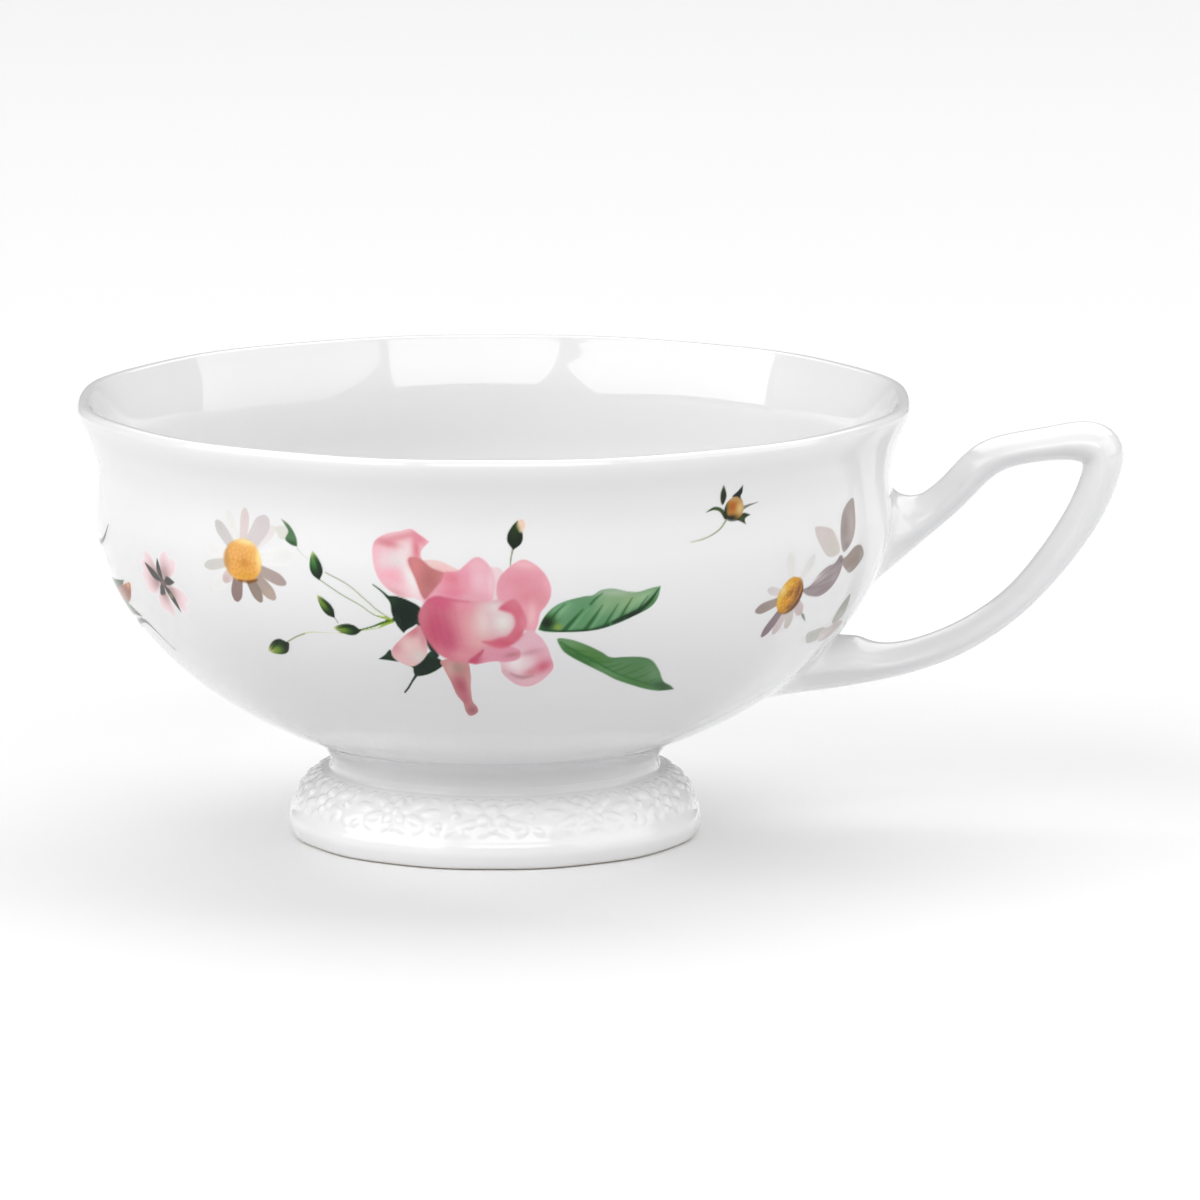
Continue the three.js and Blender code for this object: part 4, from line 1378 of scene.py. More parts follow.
def paint_green_bud(p):
    """The seed head at the upper right, with its orange heart."""
    p.stroke(
        [(0.3, 46.8), (-0.5, 45.9), (-1.8, 45.2), (-3.2, 44.8), (-4.9, 44.6)],
        [0.18, 0.15, 0.13, 0.12, 0.05],
        "8c9670",
        0.2,
        0.9,
    )
    p.stroke([(-1.9, 45.1), (-3.2, 44.7), (-4.6, 44.5)], [0.04, 0.12, 0.1], "cbd1b3", 0.3, 0.6)
    p.petal(
        [
            (-0.7, 51.6), (-0.7, 51.6), (-0.2, 50.8), (0.1, 50), (0, 49.3), (-0.3, 48.8),
            (-0.7, 49.3), (-0.9, 50.4),
        ],
        "2b3a1c",
        (-0.7, 51.2, 0.2, 0.5, 0, "6c7a55", 0.7),
    )
    p.petal(
        [
            (2.2, 51.3), (2.2, 51.3), (2.35, 50.3), (2.2, 49.7), (2.7, 49), (2.7, 49), (1.8, 49.4),
            (0.9, 49.8), (1.6, 50.5),
        ],
        "17241a",
    )
    p.stroke(
        [(-2.6, 48.1), (-1.5, 48.5), (-0.5, 48.2), (0.3, 47.3)],
        [0.06, 0.24, 0.28, 0.36],
        "4a5a33",
    )
    p.stroke([(2.8, 48.2), (3.8, 48.5), (5.0, 48.7)], [0.28, 0.17, 0.06], "5d6556", strength=0.9)
    p.petal(
        [
            (1.5, 46.9), (2.2, 46.6), (3.4, 46.0), (3.4, 46.0), (3.2, 46.8), (4.1, 47.2),
            (4.1, 47.2), (3.0, 47.6), (2.2, 47.3),
        ],
        "3f4827",
        (2.6, 46.8, 0.8, 0.4, -10, "566035", 0.6),
    )
    p.petal(
        [
            (0.3, 49.2), (1.3, 49.8), (2.4, 49.3), (2.9, 48.3), (2.6, 47.3), (1.5, 46.8),
            (0.4, 47.1), (0, 48.2),
        ],
        "b98b58",
        (1.2, 48.5, 0.7, 0.7, 0, "b0652c", 1.0),
        (2.3, 48.2, 0.5, 0.8, 0, "d3bb82", 0.9),
        (1.4, 49.5, 0.8, 0.3, 0, "b59a6c", 0.8),
        (0.2, 48.3, 0.35, 0.8, 0, "4f5a2a", 0.9),
        (1.0, 47.1, 1.0, 0.35, 0, "2c2f18", 0.95),
    )
    p.stroke(
        [(0.1, 48.4), (0.3, 47.4), (1.0, 46.85), (2.2, 46.75)],
        [0.12, 0.25, 0.22, 0.1],
        "2a351a",
        0.25,
        0.9,
    )


def paint_daisy_sprig(p):
    """The daisy by the handle with its loose mauve blossoms."""
    p.petal(
        [
            (8.5, 30.5), (8.4, 32.2), (9.3, 33.5), (10.2, 34.0), (11.1, 32.7), (11.6, 31),
            (10.5, 29.9),
        ],
        "a9a8a1",
        (10.2, 33.2, 0.8, 0.8, 0, "9fa198", 0.8),
        (10.6, 30.8, 0.9, 0.8, 0, "c0bab5", 0.7),
        soft=0.35,
    )
    p.petal(
        [(2.2, 29.9), (4.6, 30.2), (7, 30.1), (8.7, 29), (7.4, 28.2), (4.8, 28.1), (3.2, 28.8)],
        "b9b6b2",
        (4.4, 29.2, 1.6, 0.6, -5, "aeb0aa", 0.8),
        (7, 29.6, 1, 0.4, 0, "a6a6a1", 0.7),
        soft=0.35,
    )
    p.petal(
        [(6.6, 29.7), (9, 30), (11.6, 30.3), (13.8, 29.6), (12.4, 28.3), (9.6, 27.6), (7.6, 28.3)],
        "c2b9b6",
        (11.4, 29.6, 1.6, 0.6, 0, "b9afad", 0.8),
        (8.4, 28.4, 1.3, 0.5, -10, "cfc8c4", 0.8),
        soft=0.35,
    )
    p.stroke([(-2.6, 33.4), (-1.6, 32.8), (-0.3, 31.9)], [0.08, 0.26, 0.08], "5c6a56", 0.25, 0.9)
    # mauve blossom
    p.petal(
        [
            (-2.5, 44.3), (-0.4, 44.1), (1.6, 43.4), (2.8, 42), (3.6, 40.4), (2.4, 39.9),
            (0.6, 40.1), (-1, 41.3), (-2.2, 42.8),
        ],
        "cfc7c3",
        (-1, 43.2, 1.3, 1.0, -20, "d5cac9", 0.9),
        (1.6, 41.2, 1.5, 0.9, -40, "ccc6be", 0.8),
        (2.2, 42.6, 0.9, 0.3, -40, "dcd0cd", 0.8),
        soft=0.3,
    )
    p.petal(
        [
            (4.3, 40.2), (3.5, 41.6), (3.4, 43.2), (4.1, 45.1), (5.6, 46.3), (7.1, 46.6),
            (7.5, 45.2), (7.4, 43), (6.6, 41.2), (5.2, 40.2),
        ],
        "aba09d",
        (4.5, 43, 0.9, 1.8, -10, "9b918e", 0.9),
        (6.5, 43.6, 0.7, 1.6, 0, "b9acaa", 0.9),
        (6.6, 46, 0.9, 0.5, 0, "a9a6a3", 0.8),
        (5.1, 40.9, 0.8, 0.5, 0, "92898a", 0.9),
        soft=0.3,
    )
    p.petal(
        [
            (4.4, 38.9), (5.8, 39.7), (7.6, 40.5), (9.4, 40.3), (10.6, 38.9), (9.4, 37.7),
            (7.6, 37.0), (6.0, 37.6),
        ],
        "9a8d86",
        (7.6, 38.6, 1.5, 0.7, 5, "93827b", 0.9),
        (9.9, 39.2, 0.6, 1, 0, "a09e98", 0.9),
        (6.8, 37.4, 1, 0.35, -10, "a49e9b", 0.8),
        soft=0.3,
    )
    big = p.petal(
        [
            (-4.0, 36.6), (-2.4, 37.0), (-0.9, 38.2), (0.9, 38.9), (2.6, 39.1), (3.8, 39.9),
            (4.7, 39.4), (4.8, 38), (4.2, 36.6), (2.8, 35.5), (0.8, 35.0), (-1.4, 35.3), (-3, 35.8),
        ],
        "9a8d90",
        (0.2, 37.7, 1.5, 0.5, 20, "b3a8a8", 0.8),
        (-1.4, 37.6, 1.4, 0.5, 15, "cdc2bf", 0.9),
        (1.6, 35.9, 2.0, 0.4, 8, "8c7d82", 0.8),
        (3.4, 39.1, 0.8, 0.6, 0, "8e8488", 0.8),
        (3.2, 37.4, 0.8, 1.0, 30, "a59a9b", 0.7),
        soft=0.28,
    )
    for end, bend in (
        ((3.6, 38.9), (0.4, 37.9)),
        ((3.8, 37.8), (0.6, 37.1)),
        ((3.0, 36.6), (0.4, 36.4)),
    ):
        p.stroke([(-2.8, 36.5), bend, end], [0.05, 0.1, 0.04], "7f7377", 0.3, 0.5, big)
    p.stroke([(3.5, 39.8), (4.2, 39.1), (4.9, 39.4)], [0.1, 0.26, 0.1], "85797a", 0.3, 0.8)
    # daisy
    disc = (-6.3, 36.2)
    for tip, width, base, edge, strength in (
        ((-7.7, 41.9), 0.95, "e0dedb", "d9d8d4", 0.85),
        ((-2.4, 40.9), 0.85, "dcdad8", "d2d1ce", 0.85),
        ((-10.9, 37.5), 0.62, "d2cbc9", "c4bdbd", 0.9),
        ((-12.1, 34.8), 0.78, "a3968f", "978a89", 1.0),
        ((-4.3, 31.5), 0.85, "c6bcb8", "bdb5b1", 0.95),
        ((-6.9, 31.0), 0.9, "c9bcbb", "c0afb0", 0.95),
        ((-9.2, 31.0), 0.82, "8f8184", "87767d", 1.0),
        ((-2.3, 33.2), 0.8, "c4b3b1", "b9aaa9", 0.95),
    ):
        p.long_petal(disc, tip, width, base, edge, strength)
    p.spot(-6.2, 36.1, 2.5, 2.35, 0, "6d4a1e", 0.35)
    p.fill(
        p.shape(
            [
                (-8.7, 36.4), (-8, 37.9), (-6.4, 38.6), (-4.8, 38.1), (-4.2, 36.8), (-4.7, 35.2),
                (-5.9, 34.1), (-7.2, 34), (-8.4, 34.9),
            ],
            0.3,
        ),
        "cf9228",
        (-8.1, 37.2, 0.8, 1.0, 20, "e6cd8f", 0.95),
        (-8.3, 35.6, 0.6, 0.9, 0, "dfbf66", 0.8),
        (-6.9, 37.9, 1.0, 0.5, 0, "dfae4c", 0.9),
        (-7.2, 35.5, 0.8, 0.6, 0, "d3901f", 0.8),
        (-6.5, 36.5, 0.7, 0.4, 30, "8f5d14", 0.8),
        (-4.9, 36.5, 0.5, 1.4, -10, "7a4f17", 0.9),
        (-5.8, 34.6, 1.0, 0.5, 15, "8a5e1d", 0.8),
    )
    for u, v in seed_places((disc[0] - 0.1, disc[1]), 40, 2.0):
        p.spot(u, v, 0.14, 0.14, 0, "f0d27e" if u < -6.3 else "6f4512", 0.14, 0.4)


def paint_back_daisy(p):
    """A daisy of the same kind on the far side, turned and fuller."""
    disc = (0.2, 42.0)
    for k in range(15):
        a = math.radians(k * 24 + 9 * math.sin(k * 2.1))
        out = 5.3 + 0.7 * math.sin(k * 1.7 + 0.6)
        tip = (disc[0] + out * math.cos(a), disc[1] + out * 0.96 * math.sin(a))
        low = math.sin(a) < -0.25
        base, edge = ("a79a95", "9c8c88") if low else ("dcd6d4", "cfc9c8")
        p.long_petal(disc, tip, 0.8 + 0.15 * math.cos(k * 2.9), base, edge, 0.95)
    p.spot(*disc, 2.5, 2.4, 0, "c08f52", 0.4)
    p.fill(
        p.shape(
            [
                (-2.1, 42), (-1.4, 43.6), (0.3, 44.3), (2, 43.5), (2.6, 41.9), (1.7, 40.2),
                (0.1, 39.6), (-1.5, 40.3),
            ],
            0.35,
        ),
        "e5a85c",
        (0.3, 43.7, 1.8, 0.5, 0, "f7dd96", 0.9),
        (0.2, 41.8, 0.8, 0.7, 0, "cb8b45", 0.9),
        (0.2, 40.1, 1.5, 0.4, 0, "b37a34", 0.8),
    )
    for u, v in seed_places(disc, 40, 2.1):
        p.spot(u, v, 0.15, 0.15, 0, "f3cc84" if v > 42 else "b97f3a", 0.14, 0.4)


def paint_back_rosebud(p):
    """A half-open rose on the far side, on a stem with three leaves and two buds."""
    p.stroke(
        [(1.4, 31), (4, 29.4), (8, 28.8), (12, 29.4), (16.6, 31.6)],
        [0.24, 0.2, 0.18, 0.14, 0.1],
        "6f8a3c",
    )
    p.stroke([(8, 28.8), (11, 27.6), (14.4, 27.6)], [0.14, 0.12, 0.08], "8a9a5c")
    p.bud((16.4, 31.5), (19.2, 34.2), 0.85)
    p.bud((14, 27.6), (17.4, 28.0), 0.75)
    p.leaf((-4.6, 33.4), (-17.6, 36.0), 0.9, 2.2)
    p.leaf((-3.4, 31.0), (-15.2, 28.0), -1.0, 1.7, "5d8a5b", "3f6a3f", "7fa17c")
    p.leaf((5.4, 33.4), (14.6, 38.2), -0.7, 1.8)
    p.petal(
        [
            (-5.4, 36), (-5.8, 39.4), (-4.4, 42.4), (-2, 44.2), (0.4, 43.6), (1.4, 41), (0.6, 37),
            (-2, 34.6),
        ],
        "ecc3cb",
        (-4.4, 41, 1.1, 2.4, -10, "efb2c0", 0.9),
        (-2.4, 43.4, 1.8, 0.6, 20, "df98a2", 0.9),
        (-2.6, 38.4, 1.2, 2.2, 0, "e9dcdb", 0.9),
        soft=0.3,
    )
    p.petal(
        [
            (-1, 42), (0.6, 44.6), (3, 45.2), (5.2, 43.6), (6.2, 40.8), (5.8, 37.6), (3.4, 35.2),
            (0.4, 36.4),
        ],
        "e4a5b2",
        (3, 44.2, 2.0, 0.7, -15, "eebac4", 0.9),
        (4.9, 40.4, 1.1, 2.4, 10, "dc93a1", 0.9),
        (2, 40, 1.4, 1.6, 0, "e8b7c1", 0.7),
        soft=0.3,
    )
    p.petal(
        [
            (-4.6, 35.6), (-4.2, 38.6), (-2.2, 40.4), (0.6, 40.6), (3.2, 39.6), (4.8, 37.2),
            (4.4, 34), (2.4, 31.8), (-0.6, 31), (-3.4, 32.4),
        ],
        "d08a95",
        (-2.9, 35.6, 1.5, 2.4, 0, "c0607a", 0.95),
        (-0.6, 34.6, 1.6, 2.2, 0, "cf7788", 0.7),
        (1.6, 36, 1.5, 2.2, 0, "dfb7b8", 0.9),
        (3.4, 35.8, 0.9, 2.0, 5, "dfcfca", 0.9),
        (-1.2, 39.4, 1.8, 0.7, 0, "d97c90", 0.9),
        soft=0.34,
    )
    p.petal(
        [
            (0.2, 31.2), (2.8, 32.2), (5, 34.6), (6.6, 36.2), (7.2, 34), (6, 31.4), (3.4, 29.6),
            (1, 29.8),
        ],
        "dcaab5",
        (5.6, 33.2, 1.3, 1.2, 50, "cd7c8b", 0.9),
        (2.8, 31, 1.4, 0.7, 20, "e2c4c8", 0.9),
        soft=0.3,
    )
    p.stroke(
        [(-0.4, 40.2), (2.2, 39.6), (3.9, 38), (4.6, 36.2)],
        [0.2, 0.42, 0.42, 0.2],
        "c96c7d",
        0.5,
        0.85,
    )
    p.petal(
        [
            (-1.2, 32), (1.6, 31.6), (3.2, 30.2), (3.2, 30.2), (1.2, 29.6), (-0.8, 30.2),
            (-3.6, 30.4), (-3.6, 30.4),
        ],
        "12371f",
        (0.4, 30.6, 1.3, 0.6, 0, "1f4c2c", 0.8),
    )
    p.petal(
        [
            (-3.0, 32.6), (-2.0, 31.2), (-0.8, 30.6), (-2.4, 30.2), (-4.8, 31.6), (-6.4, 33.6),
            (-6.4, 33.6),
        ],
        "0f301b",
        (-4.6, 32.2, 1.0, 0.5, -35, "27543a", 0.7),
    )
    p.stroke([(0.6, 30.4), (1.8, 28.2), (1.4, 26), (0.2, 25)], [0.28, 0.2, 0.18, 0.14], "3c5a2c")


def paint_back_bud(p):
    """A single upright bud with two small leaves."""
    p.stroke(
        [(0.4, 43.2), (-0.4, 41.2), (-0.2, 39.2), (0.8, 37.6)],
        [0.16, 0.13, 0.12, 0.08],
        "7f8c5c",
    )
    p.leaf((-0.4, 40.6), (-4.4, 42.6), 0.5, 0.9, veins=4)
    p.leaf((-0.3, 39.6), (4.2, 41.0), 0.5, 0.85, veins=4)
    p.bud((0.3, 42.9), (1.4, 48.2), 1.25, dark="11290f", light="3e5e22", cap="e0ad9c")
    p.petal(
        [(0.7, 46.6), (0.9, 48.3), (1.9, 48.7), (2.5, 47.6), (2.0, 46.2)],
        "e6a9b0",
        (1.4, 47, 0.5, 0.6, 0, "cf7786", 0.8),
        soft=0.3,
    )


def paint_back_blossom(p):
    """The small blossom again on the far side, with a yellow heart."""
    paint_blossom(p, 0.1, 36.0)
    p.spot(0.1, 36.0, 0.95, 0.9, 0, "b98a3c", 0.4)
    for k in range(12):
        a = k * math.tau / 12
        u, v = 0.1 + 1.1 * math.cos(a), 36 + 1.05 * math.sin(a)
        p.spot(u, v, 0.13, 0.13, 0, "e3c067", 0.12, 0.9)


# name: (node of the frame, slot, bearing from the front towards the handle, left, right, low,
# high, cell, painter), in degrees and millimetres
PRINTS = {
    "rose_spray": (
        "rose_spray_transfer", "rose_print", 0, -32.6, 29, 21.4, 49.8, 0.15, paint_rose_spray,
    ),
    "daisy": ("daisy_transfer", "petal_print", -36, -8.2, 9.8, 35, 49.6, 0.13, paint_daisy),
    "pink_blossom": (
        "pink_blossom_transfer", "rose_print", -54.5, -6.2, 5.4, 31.4, 42.2, 0.13, paint_blossom,
    ),
    "edge_spray": (
        "side_spray_transfer", "leaf_print", -83.5, -6.5, 17.2, 22.6, 43.4, 0.15, paint_edge_spray,
    ),
    "green_bud": (
        "green_bud_transfer", "leaf_print", 34.5, -5.8, 5.8, 43.8, 52.2, 0.12, paint_green_bud,
    ),
    "daisy_sprig": (
        "daisy_sprig_transfer", "petal_print", 55, -13.4, 14.6, 27, 47.4, 0.14, paint_daisy_sprig,
    ),
    "back_daisy": (
        "back_daisy_transfer", "petal_print", 124, -7, 7.4, 35, 49, 0.14, paint_back_daisy,
    ),
    "back_rosebud": (
        "back_rosebud_transfer", "rose_print", 174, -18.8, 20.2, 24, 46, 0.17, paint_back_rosebud,
    ),
    "back_bud": (
        "back_bud_transfer", "leaf_print", -142, -5.4, 5.2, 36.8, 49.4, 0.14, paint_back_bud,
    ),
    "back_blossom": (
        "back_blossom_transfer", "rose_print", -118, -6, 6.2, 30.6, 41.6, 0.14, paint_back_blossom,
    ),
}
FILM_LIFT = 0.05 * MM
FILM_EDGE = -0.02 * MM
FILM_KEY = 0.14 * MM  # how deep the film's underside is keyed into the glaze
DRAWN_RADIUS = 50.3  # millimetres of print to a radian of the bowl
THINNEST_COVER = 0.015  # a film is laid where there is more enamel than this
DEEPEST_SHARE = 0.45  # of each colour, which the sheen never takes away


def film_cells(cover):
    """Which cells of the grid carry enamel, with no two touching only at a corner."""
    wet = cover > THINNEST_COVER
    cells = wet[:-1, :-1] | wet[1:, :-1] | wet[:-1, 1:] | wet[1:, 1:]
    cells[0], cells[-1], cells[:, 0], cells[:, -1] = False, False, False, False
    while True:
        a, b, c, d = cells[:-1, :-1], cells[:-1, 1:], cells[1:, :-1], cells[1:, 1:]
        pinched = (a & d & ~b & ~c) | (b & c & ~a & ~d)
        if not pinched.any():
            return cells
        rows, columns = np.nonzero(pinched)
        for step_row in (0, 1):
            for step_column in (0, 1):
                cells[rows + step_row, columns + step_column] = True


def film_mesh(shape, art, bearing):
    """Vertices, faces and normals of a thin closed film laid over the bowl."""
    cells = film_cells(art.cover)
    padded = np.pad(cells, 1)
    corners = [padded[:-1, :-1], padded[:-1, 1:], padded[1:, :-1], padded[1:, 1:]]
    used = np.any(corners, axis=0)
    whole = np.all(corners, axis=0)
    index = np.cumsum(used.ravel()).reshape(used.shape) - 1
    u, v = art.u[used], art.v[used]
    angle = math.radians(bearing) - math.pi / 2 + u / DRAWN_RADIUS
    lift = np.where(whole[used], FILM_LIFT, FILM_EDGE)
    top, normal = shape.on_bowl(angle, v * MM, lift)
    bottom, _ = shape.on_bowl(angle, v * MM, np.full(len(u), -FILM_KEY))
    count = len(top)
    a, b, c, d = index[:-1, :-1], index[:-1, 1:], index[1:, 1:], index[1:, :-1]
    quads = np.stack([a, b, c, d], axis=-1)[cells]
    faces = [quads, quads[:, ::-1] + count]
    for start, end, row, column in ((a, b, -1, 0), (b, c, 0, 1), (c, d, 1, 0), (d, a, 0, -1)):
        rows = slice(1 + row, 1 + row + cells.shape[0])
        columns = slice(1 + column, 1 + column + cells.shape[1])
        edge = cells & ~padded[rows, columns]
        s, e = start[edge], end[edge]
        faces.append(np.stack([e, s, s + count, e + count], axis=-1))
    vertices = np.concatenate([top, bottom])
    return vertices, np.concatenate(faces), np.concatenate([normal, -normal]), used


def lay_print(name, shape, material):
    """Paints a print, lays it over the bowl and keeps its colours in the mesh."""
    node, slot, bearing, left, right, low, high, cell, painter = PRINTS[name]
    art = Print(left, right, low, high, cell)
    painter(art)
    vertices, faces, normals, used = film_mesh(shape, art, bearing)
    piece = add_piece(f"{name}_print", vertices.tolist(), faces.tolist(), material, [node])
    sheen = bpy.context.scene.cup_colours.sheen
    colour = to_linear(np.clip(art.colour[used], 0, 1))
    colour = np.maximum(colour - sheen, DEEPEST_SHARE * colour)
    cover = art.cover[used]
    rgba = np.c_[colour, np.ones(len(colour))]
    layer = piece.data.color_attributes.new("enamel", "FLOAT_COLOR", "POINT")
    layer.data.foreach_set("color", np.concatenate([rgba, rgba]).astype(np.float32).ravel())
    amount = piece.data.attributes.new("cover", "FLOAT", "POINT")
    amount.data.foreach_set("value", np.concatenate([cover, cover]).astype(np.float32))
    piece.data.normals_split_custom_set_from_vertices(normals.tolist())
    return piece


# ---------------------------------------------------------------- materials


class Field:
    """A socket of a material's node tree, worked with as a number."""

    def __init__(self, tree, socket):
        self.tree = tree
        self.socket = socket

    def node(self, kind, settings=None, inputs=None, output=0):
        """Adds a node: its settings first, then the values or links of its sockets."""
        made = self.tree.nodes.new(kind)
        for name, value in (settings or {}).items():
            setattr(made, name, value)
        for name, value in (inputs or {}).items():
            if isinstance(value, Field):
                self.tree.links.new(value.socket, made.inputs[name])
            else:
                made.inputs[name].default_value = value
        return Field(self.tree, made.outputs[output]) if made.outputs else made

    def math(self, operation, first, second):
        """One Math node on two numbers or sockets."""
        return self.node("ShaderNodeMath", {"operation": operation}, {0: first, 1: second})

    def __add__(self, other):
        return self.math("ADD", self, other)

    def __sub__(self, other):
        return self.math("SUBTRACT", self, other)

    def __rsub__(self, other):
        return self.math("SUBTRACT", other, self)

    def __mul__(self, other):
        return self.math("MULTIPLY", self, other)

    def __truediv__(self, other):
        return self.math("DIVIDE", self, other)

    __radd__ = __add__
    __rmul__ = __mul__

    def clamped(self):
        """This number, held between 0 and 1."""
        return self.node("ShaderNodeClamp", {}, {"Value": self})

    def mixed(self, first, second):
        """One colour where this is 0 and another where it is 1."""
        inputs = {0: self, 6: first, 7: second}
        return self.node("ShaderNodeMix", {"data_type": "RGBA"}, inputs, 2)


def colour4(value):
    """A colour with its full opacity added."""
    return (*value, 1.0)


GLAZE_IOR = 1.33  # low, so that the room's sheen leaves the prints deep
GLAZE_DRIFT = 34.0  # changes to a metre: slow ones in the glaze,
GLAZE_RIPPLE = 150.0  # the ripple of its surface,
ENAMEL_SPECK = 2600.0  # and the specks of the enamel
LIT_TURN, LIT_LEVEL, LIT_DRIFT = 0.9, 0.42, 0.16  # painted light and shade: the glaze is painted lighter where a face turns up and darker where it turns down, with a little random tone
ROUGH_DRIFT, ROUGH_ENAMEL, ROUGH_BISCUIT = 0.03, 0.05, 0.5
WAVE_STRENGTH, WAVE_HEIGHT = 0.12, 0.0006
COAT_ROUGHNESS = 0.03
BARE_HEIGHT = 0.35 * MM  # how far up the standing ring the biscuit shows
FOOT_TINT_TOP, FOOT_TINT_DEPTH = 9.4 * MM, 2.0 * MM  # the foot's lit and painted-shade glaze fades in downwards


def noise(start, place, scale, detail, roughness):
    """An even noise from 0 to 1 that follows the piece's own shape."""
    values = {"Vector": place, "Scale": scale, "Detail": detail, "Roughness": roughness}
    return start.node("ShaderNodeTexNoise", {}, values)


def new_material(name, colours, printed=False, bare_ring=False):
    """Glazed porcelain, with a print's enamel in the glaze or a bare standing ring."""
    material = bpy.data.materials.new(name)
    material.use_nodes = True
    tree = material.node_tree
    tree.nodes.clear()
    start = Field(tree, None)
    place = start.node("ShaderNodeTexCoord", output=3)
    heights = start.node("ShaderNodeSeparateXYZ", {}, {0: place}, 2)
    drift = noise(start, place, GLAZE_DRIFT, 2.0, 0.4)
    ripple = noise(start, place, GLAZE_RIPPLE, 1.0, 0.3)
    speck = noise(start, place, ENAMEL_SPECK, 2.0, 0.6)
    facing = start.node("ShaderNodeTexCoord", output=1)
    up = start.node("ShaderNodeSeparateXYZ", {}, {0: facing}, 2)
    # Painted light and shade: the lit glaze where a face turns up and painted shade where it turns
    # down; the drift adds random tone
    thin = (up * LIT_TURN + LIT_LEVEL + drift * LIT_DRIFT).clamped()
    base = thin.mixed(colour4(colours.pool), colour4(colours.glaze))
    rough = colours.gloss + drift * ROUGH_DRIFT
    gloss = colours.coat
    if printed:
        enamel = start.node("ShaderNodeAttribute", {"attribute_name": "enamel"})
        cover = start.node("ShaderNodeAttribute", {"attribute_name": "cover"}, output=2)
        grain = start.node(
            "ShaderNodeHueSaturation",
            {},
            {"Color": enamel, "Value": 1 + (speck - 0.5) * (colours.grain * 2), "Fac": 1.0},
        )
        base = cover.mixed(base, grain)
        rough = rough + cover * speck * ROUGH_ENAMEL
        gloss = (1 - cover) * colours.coat
    if bare_ring:
        ring = (1 - heights / BARE_HEIGHT).clamped()
        bare = (ring * 6).clamped()
        below_neck = ((FOOT_TINT_TOP - heights) / FOOT_TINT_DEPTH).clamped()
        # Painted light and shade on the foot: lighter where the relief turns up, darker round the
        # bead where it turns down
        foot = thin.mixed(colour4(colours.foot_shaded_glaze), colour4(colours.foot_lit_glaze))
        base = below_neck.mixed(base, foot)
        base = bare.mixed(base, colour4(colours.biscuit))
        rough = rough + bare * ROUGH_BISCUIT
    waves = ripple * 0.7 + drift * 0.3
    bump = start.node(
        "ShaderNodeBump",
        {},
        {"Strength": WAVE_STRENGTH, "Distance": WAVE_HEIGHT, "Height": waves},
    )
    shader = start.node(
        "ShaderNodeBsdfPrincipled",
        {},
        {
            "Base Color": base,
            "Roughness": rough,
            "Normal": bump,
            "IOR": GLAZE_IOR,
            "Coat Weight": gloss,
            "Coat Roughness": COAT_ROUGHNESS,
        },
    )
    start.node("ShaderNodeOutputMaterial", {}, {"Surface": shader})
    return material


def material_of(name, colours, **kinds):
    """The material of this name, made the first time that a piece asks for it."""
    return bpy.data.materials.get(name) or new_material(name, colours, **kinds)


# ---------------------------------------------------------------- operators


class TeacupOperator:
    """What the operators share."""

    bl_options = {"REGISTER", "UNDO"}

    def shape(self, context):
        return CupShape(context.scene.cup_sizes)

    def colours(self, context):
        return context.scene.cup_colours

    def lay(self, context, *names):
        """Lays the named prints over the bowl."""
        material = material_of("enamel_in_glaze", self.colours(context), printed=True)
        shape = self.shape(context)
        for name in names:
            lay_print(name, shape, material)
        return {"FINISHED"}


class TEACUP_OT_bowl(TeacupOperator, bpy.types.Operator):
    """Turns the bowl, presses it into twelve soft sides and glazes it"""

    bl_idname = "teacup.bowl"
    bl_label = "Bowl"

    def execute(self, context):
        shape = self.shape(context)
        vertices, faces = turned(bowl_profile(shape), shape.s.columns)
        glaze = material_of("glazed_porcelain", self.colours(context))
        face_outwards(add_piece("glazed_bowl", vertices, faces, glaze, ["bowl"]))
        return {"FINISHED"}


class TEACUP_OT_foot(TeacupOperator, bpy.types.Operator):
    """Makes the pedestal foot with its frieze of fruit, leaves and rosettes"""

    bl_idname = "teacup.foot"
    bl_label = "Pedestal foot"

    def execute(self, context):
        shape = self.shape(context)
        profile, first, last = foot_profile(shape)
        travelled = along(profile[:, :2]) / MM
        start, end = travelled[first], travelled[last - 1]

        def lift(row, angle):
            if not first <= row < last:
                return np.zeros_like(angle)
            up = (travelled[row] - start) / (end - start) * FRIEZE_RISE
            fade = smoothstep(-0.3, 1.1, up) * smoothstep(FRIEZE_RISE, FRIEZE_RISE - 0.6, up)
            across = angle * FRIEZE_RADIUS
            return relief_height(across, np.full_like(angle, up)) * shape.s.relief * fade

        vertices, faces = turned(profile, FOOT_COLUMNS, lift)
        glaze = material_of("glazed_foot", self.colours(context), bare_ring=True)
        foot = add_piece("relief_foot", vertices, faces, glaze, ["pedestal_foot"])
        face_outwards(foot)
        return {"FINISHED"}


class TEACUP_OT_handle(TeacupOperator, bpy.types.Operator):
    """Sweeps the strap handle and blends its two roots into the bowl"""

    bl_idname = "teacup.handle"
    bl_label = "Handle"

    def execute(self, context):
        vertices, faces = handle_mesh(self.shape(context))
        glaze = material_of("glazed_porcelain", self.colours(context))
        face_outwards(add_piece("strap_handle", vertices, faces, glaze, ["handle"]))
        return {"FINISHED"}


class TEACUP_OT_roses(TeacupOperator, bpy.types.Operator):
    """Lays the rose spray on the front and the rosebud on the back"""

    bl_idname = "teacup.roses"
    bl_label = "Rose prints"

    def execute(self, context):
        return self.lay(context, "rose_spray", "back_rosebud")


class TEACUP_OT_daisies(TeacupOperator, bpy.types.Operator):
    """Lays the daisies round the bowl"""

    bl_idname = "teacup.daisies"
    bl_label = "Daisy prints"

    def execute(self, context):
        return self.lay(context, "daisy", "daisy_sprig", "back_daisy")


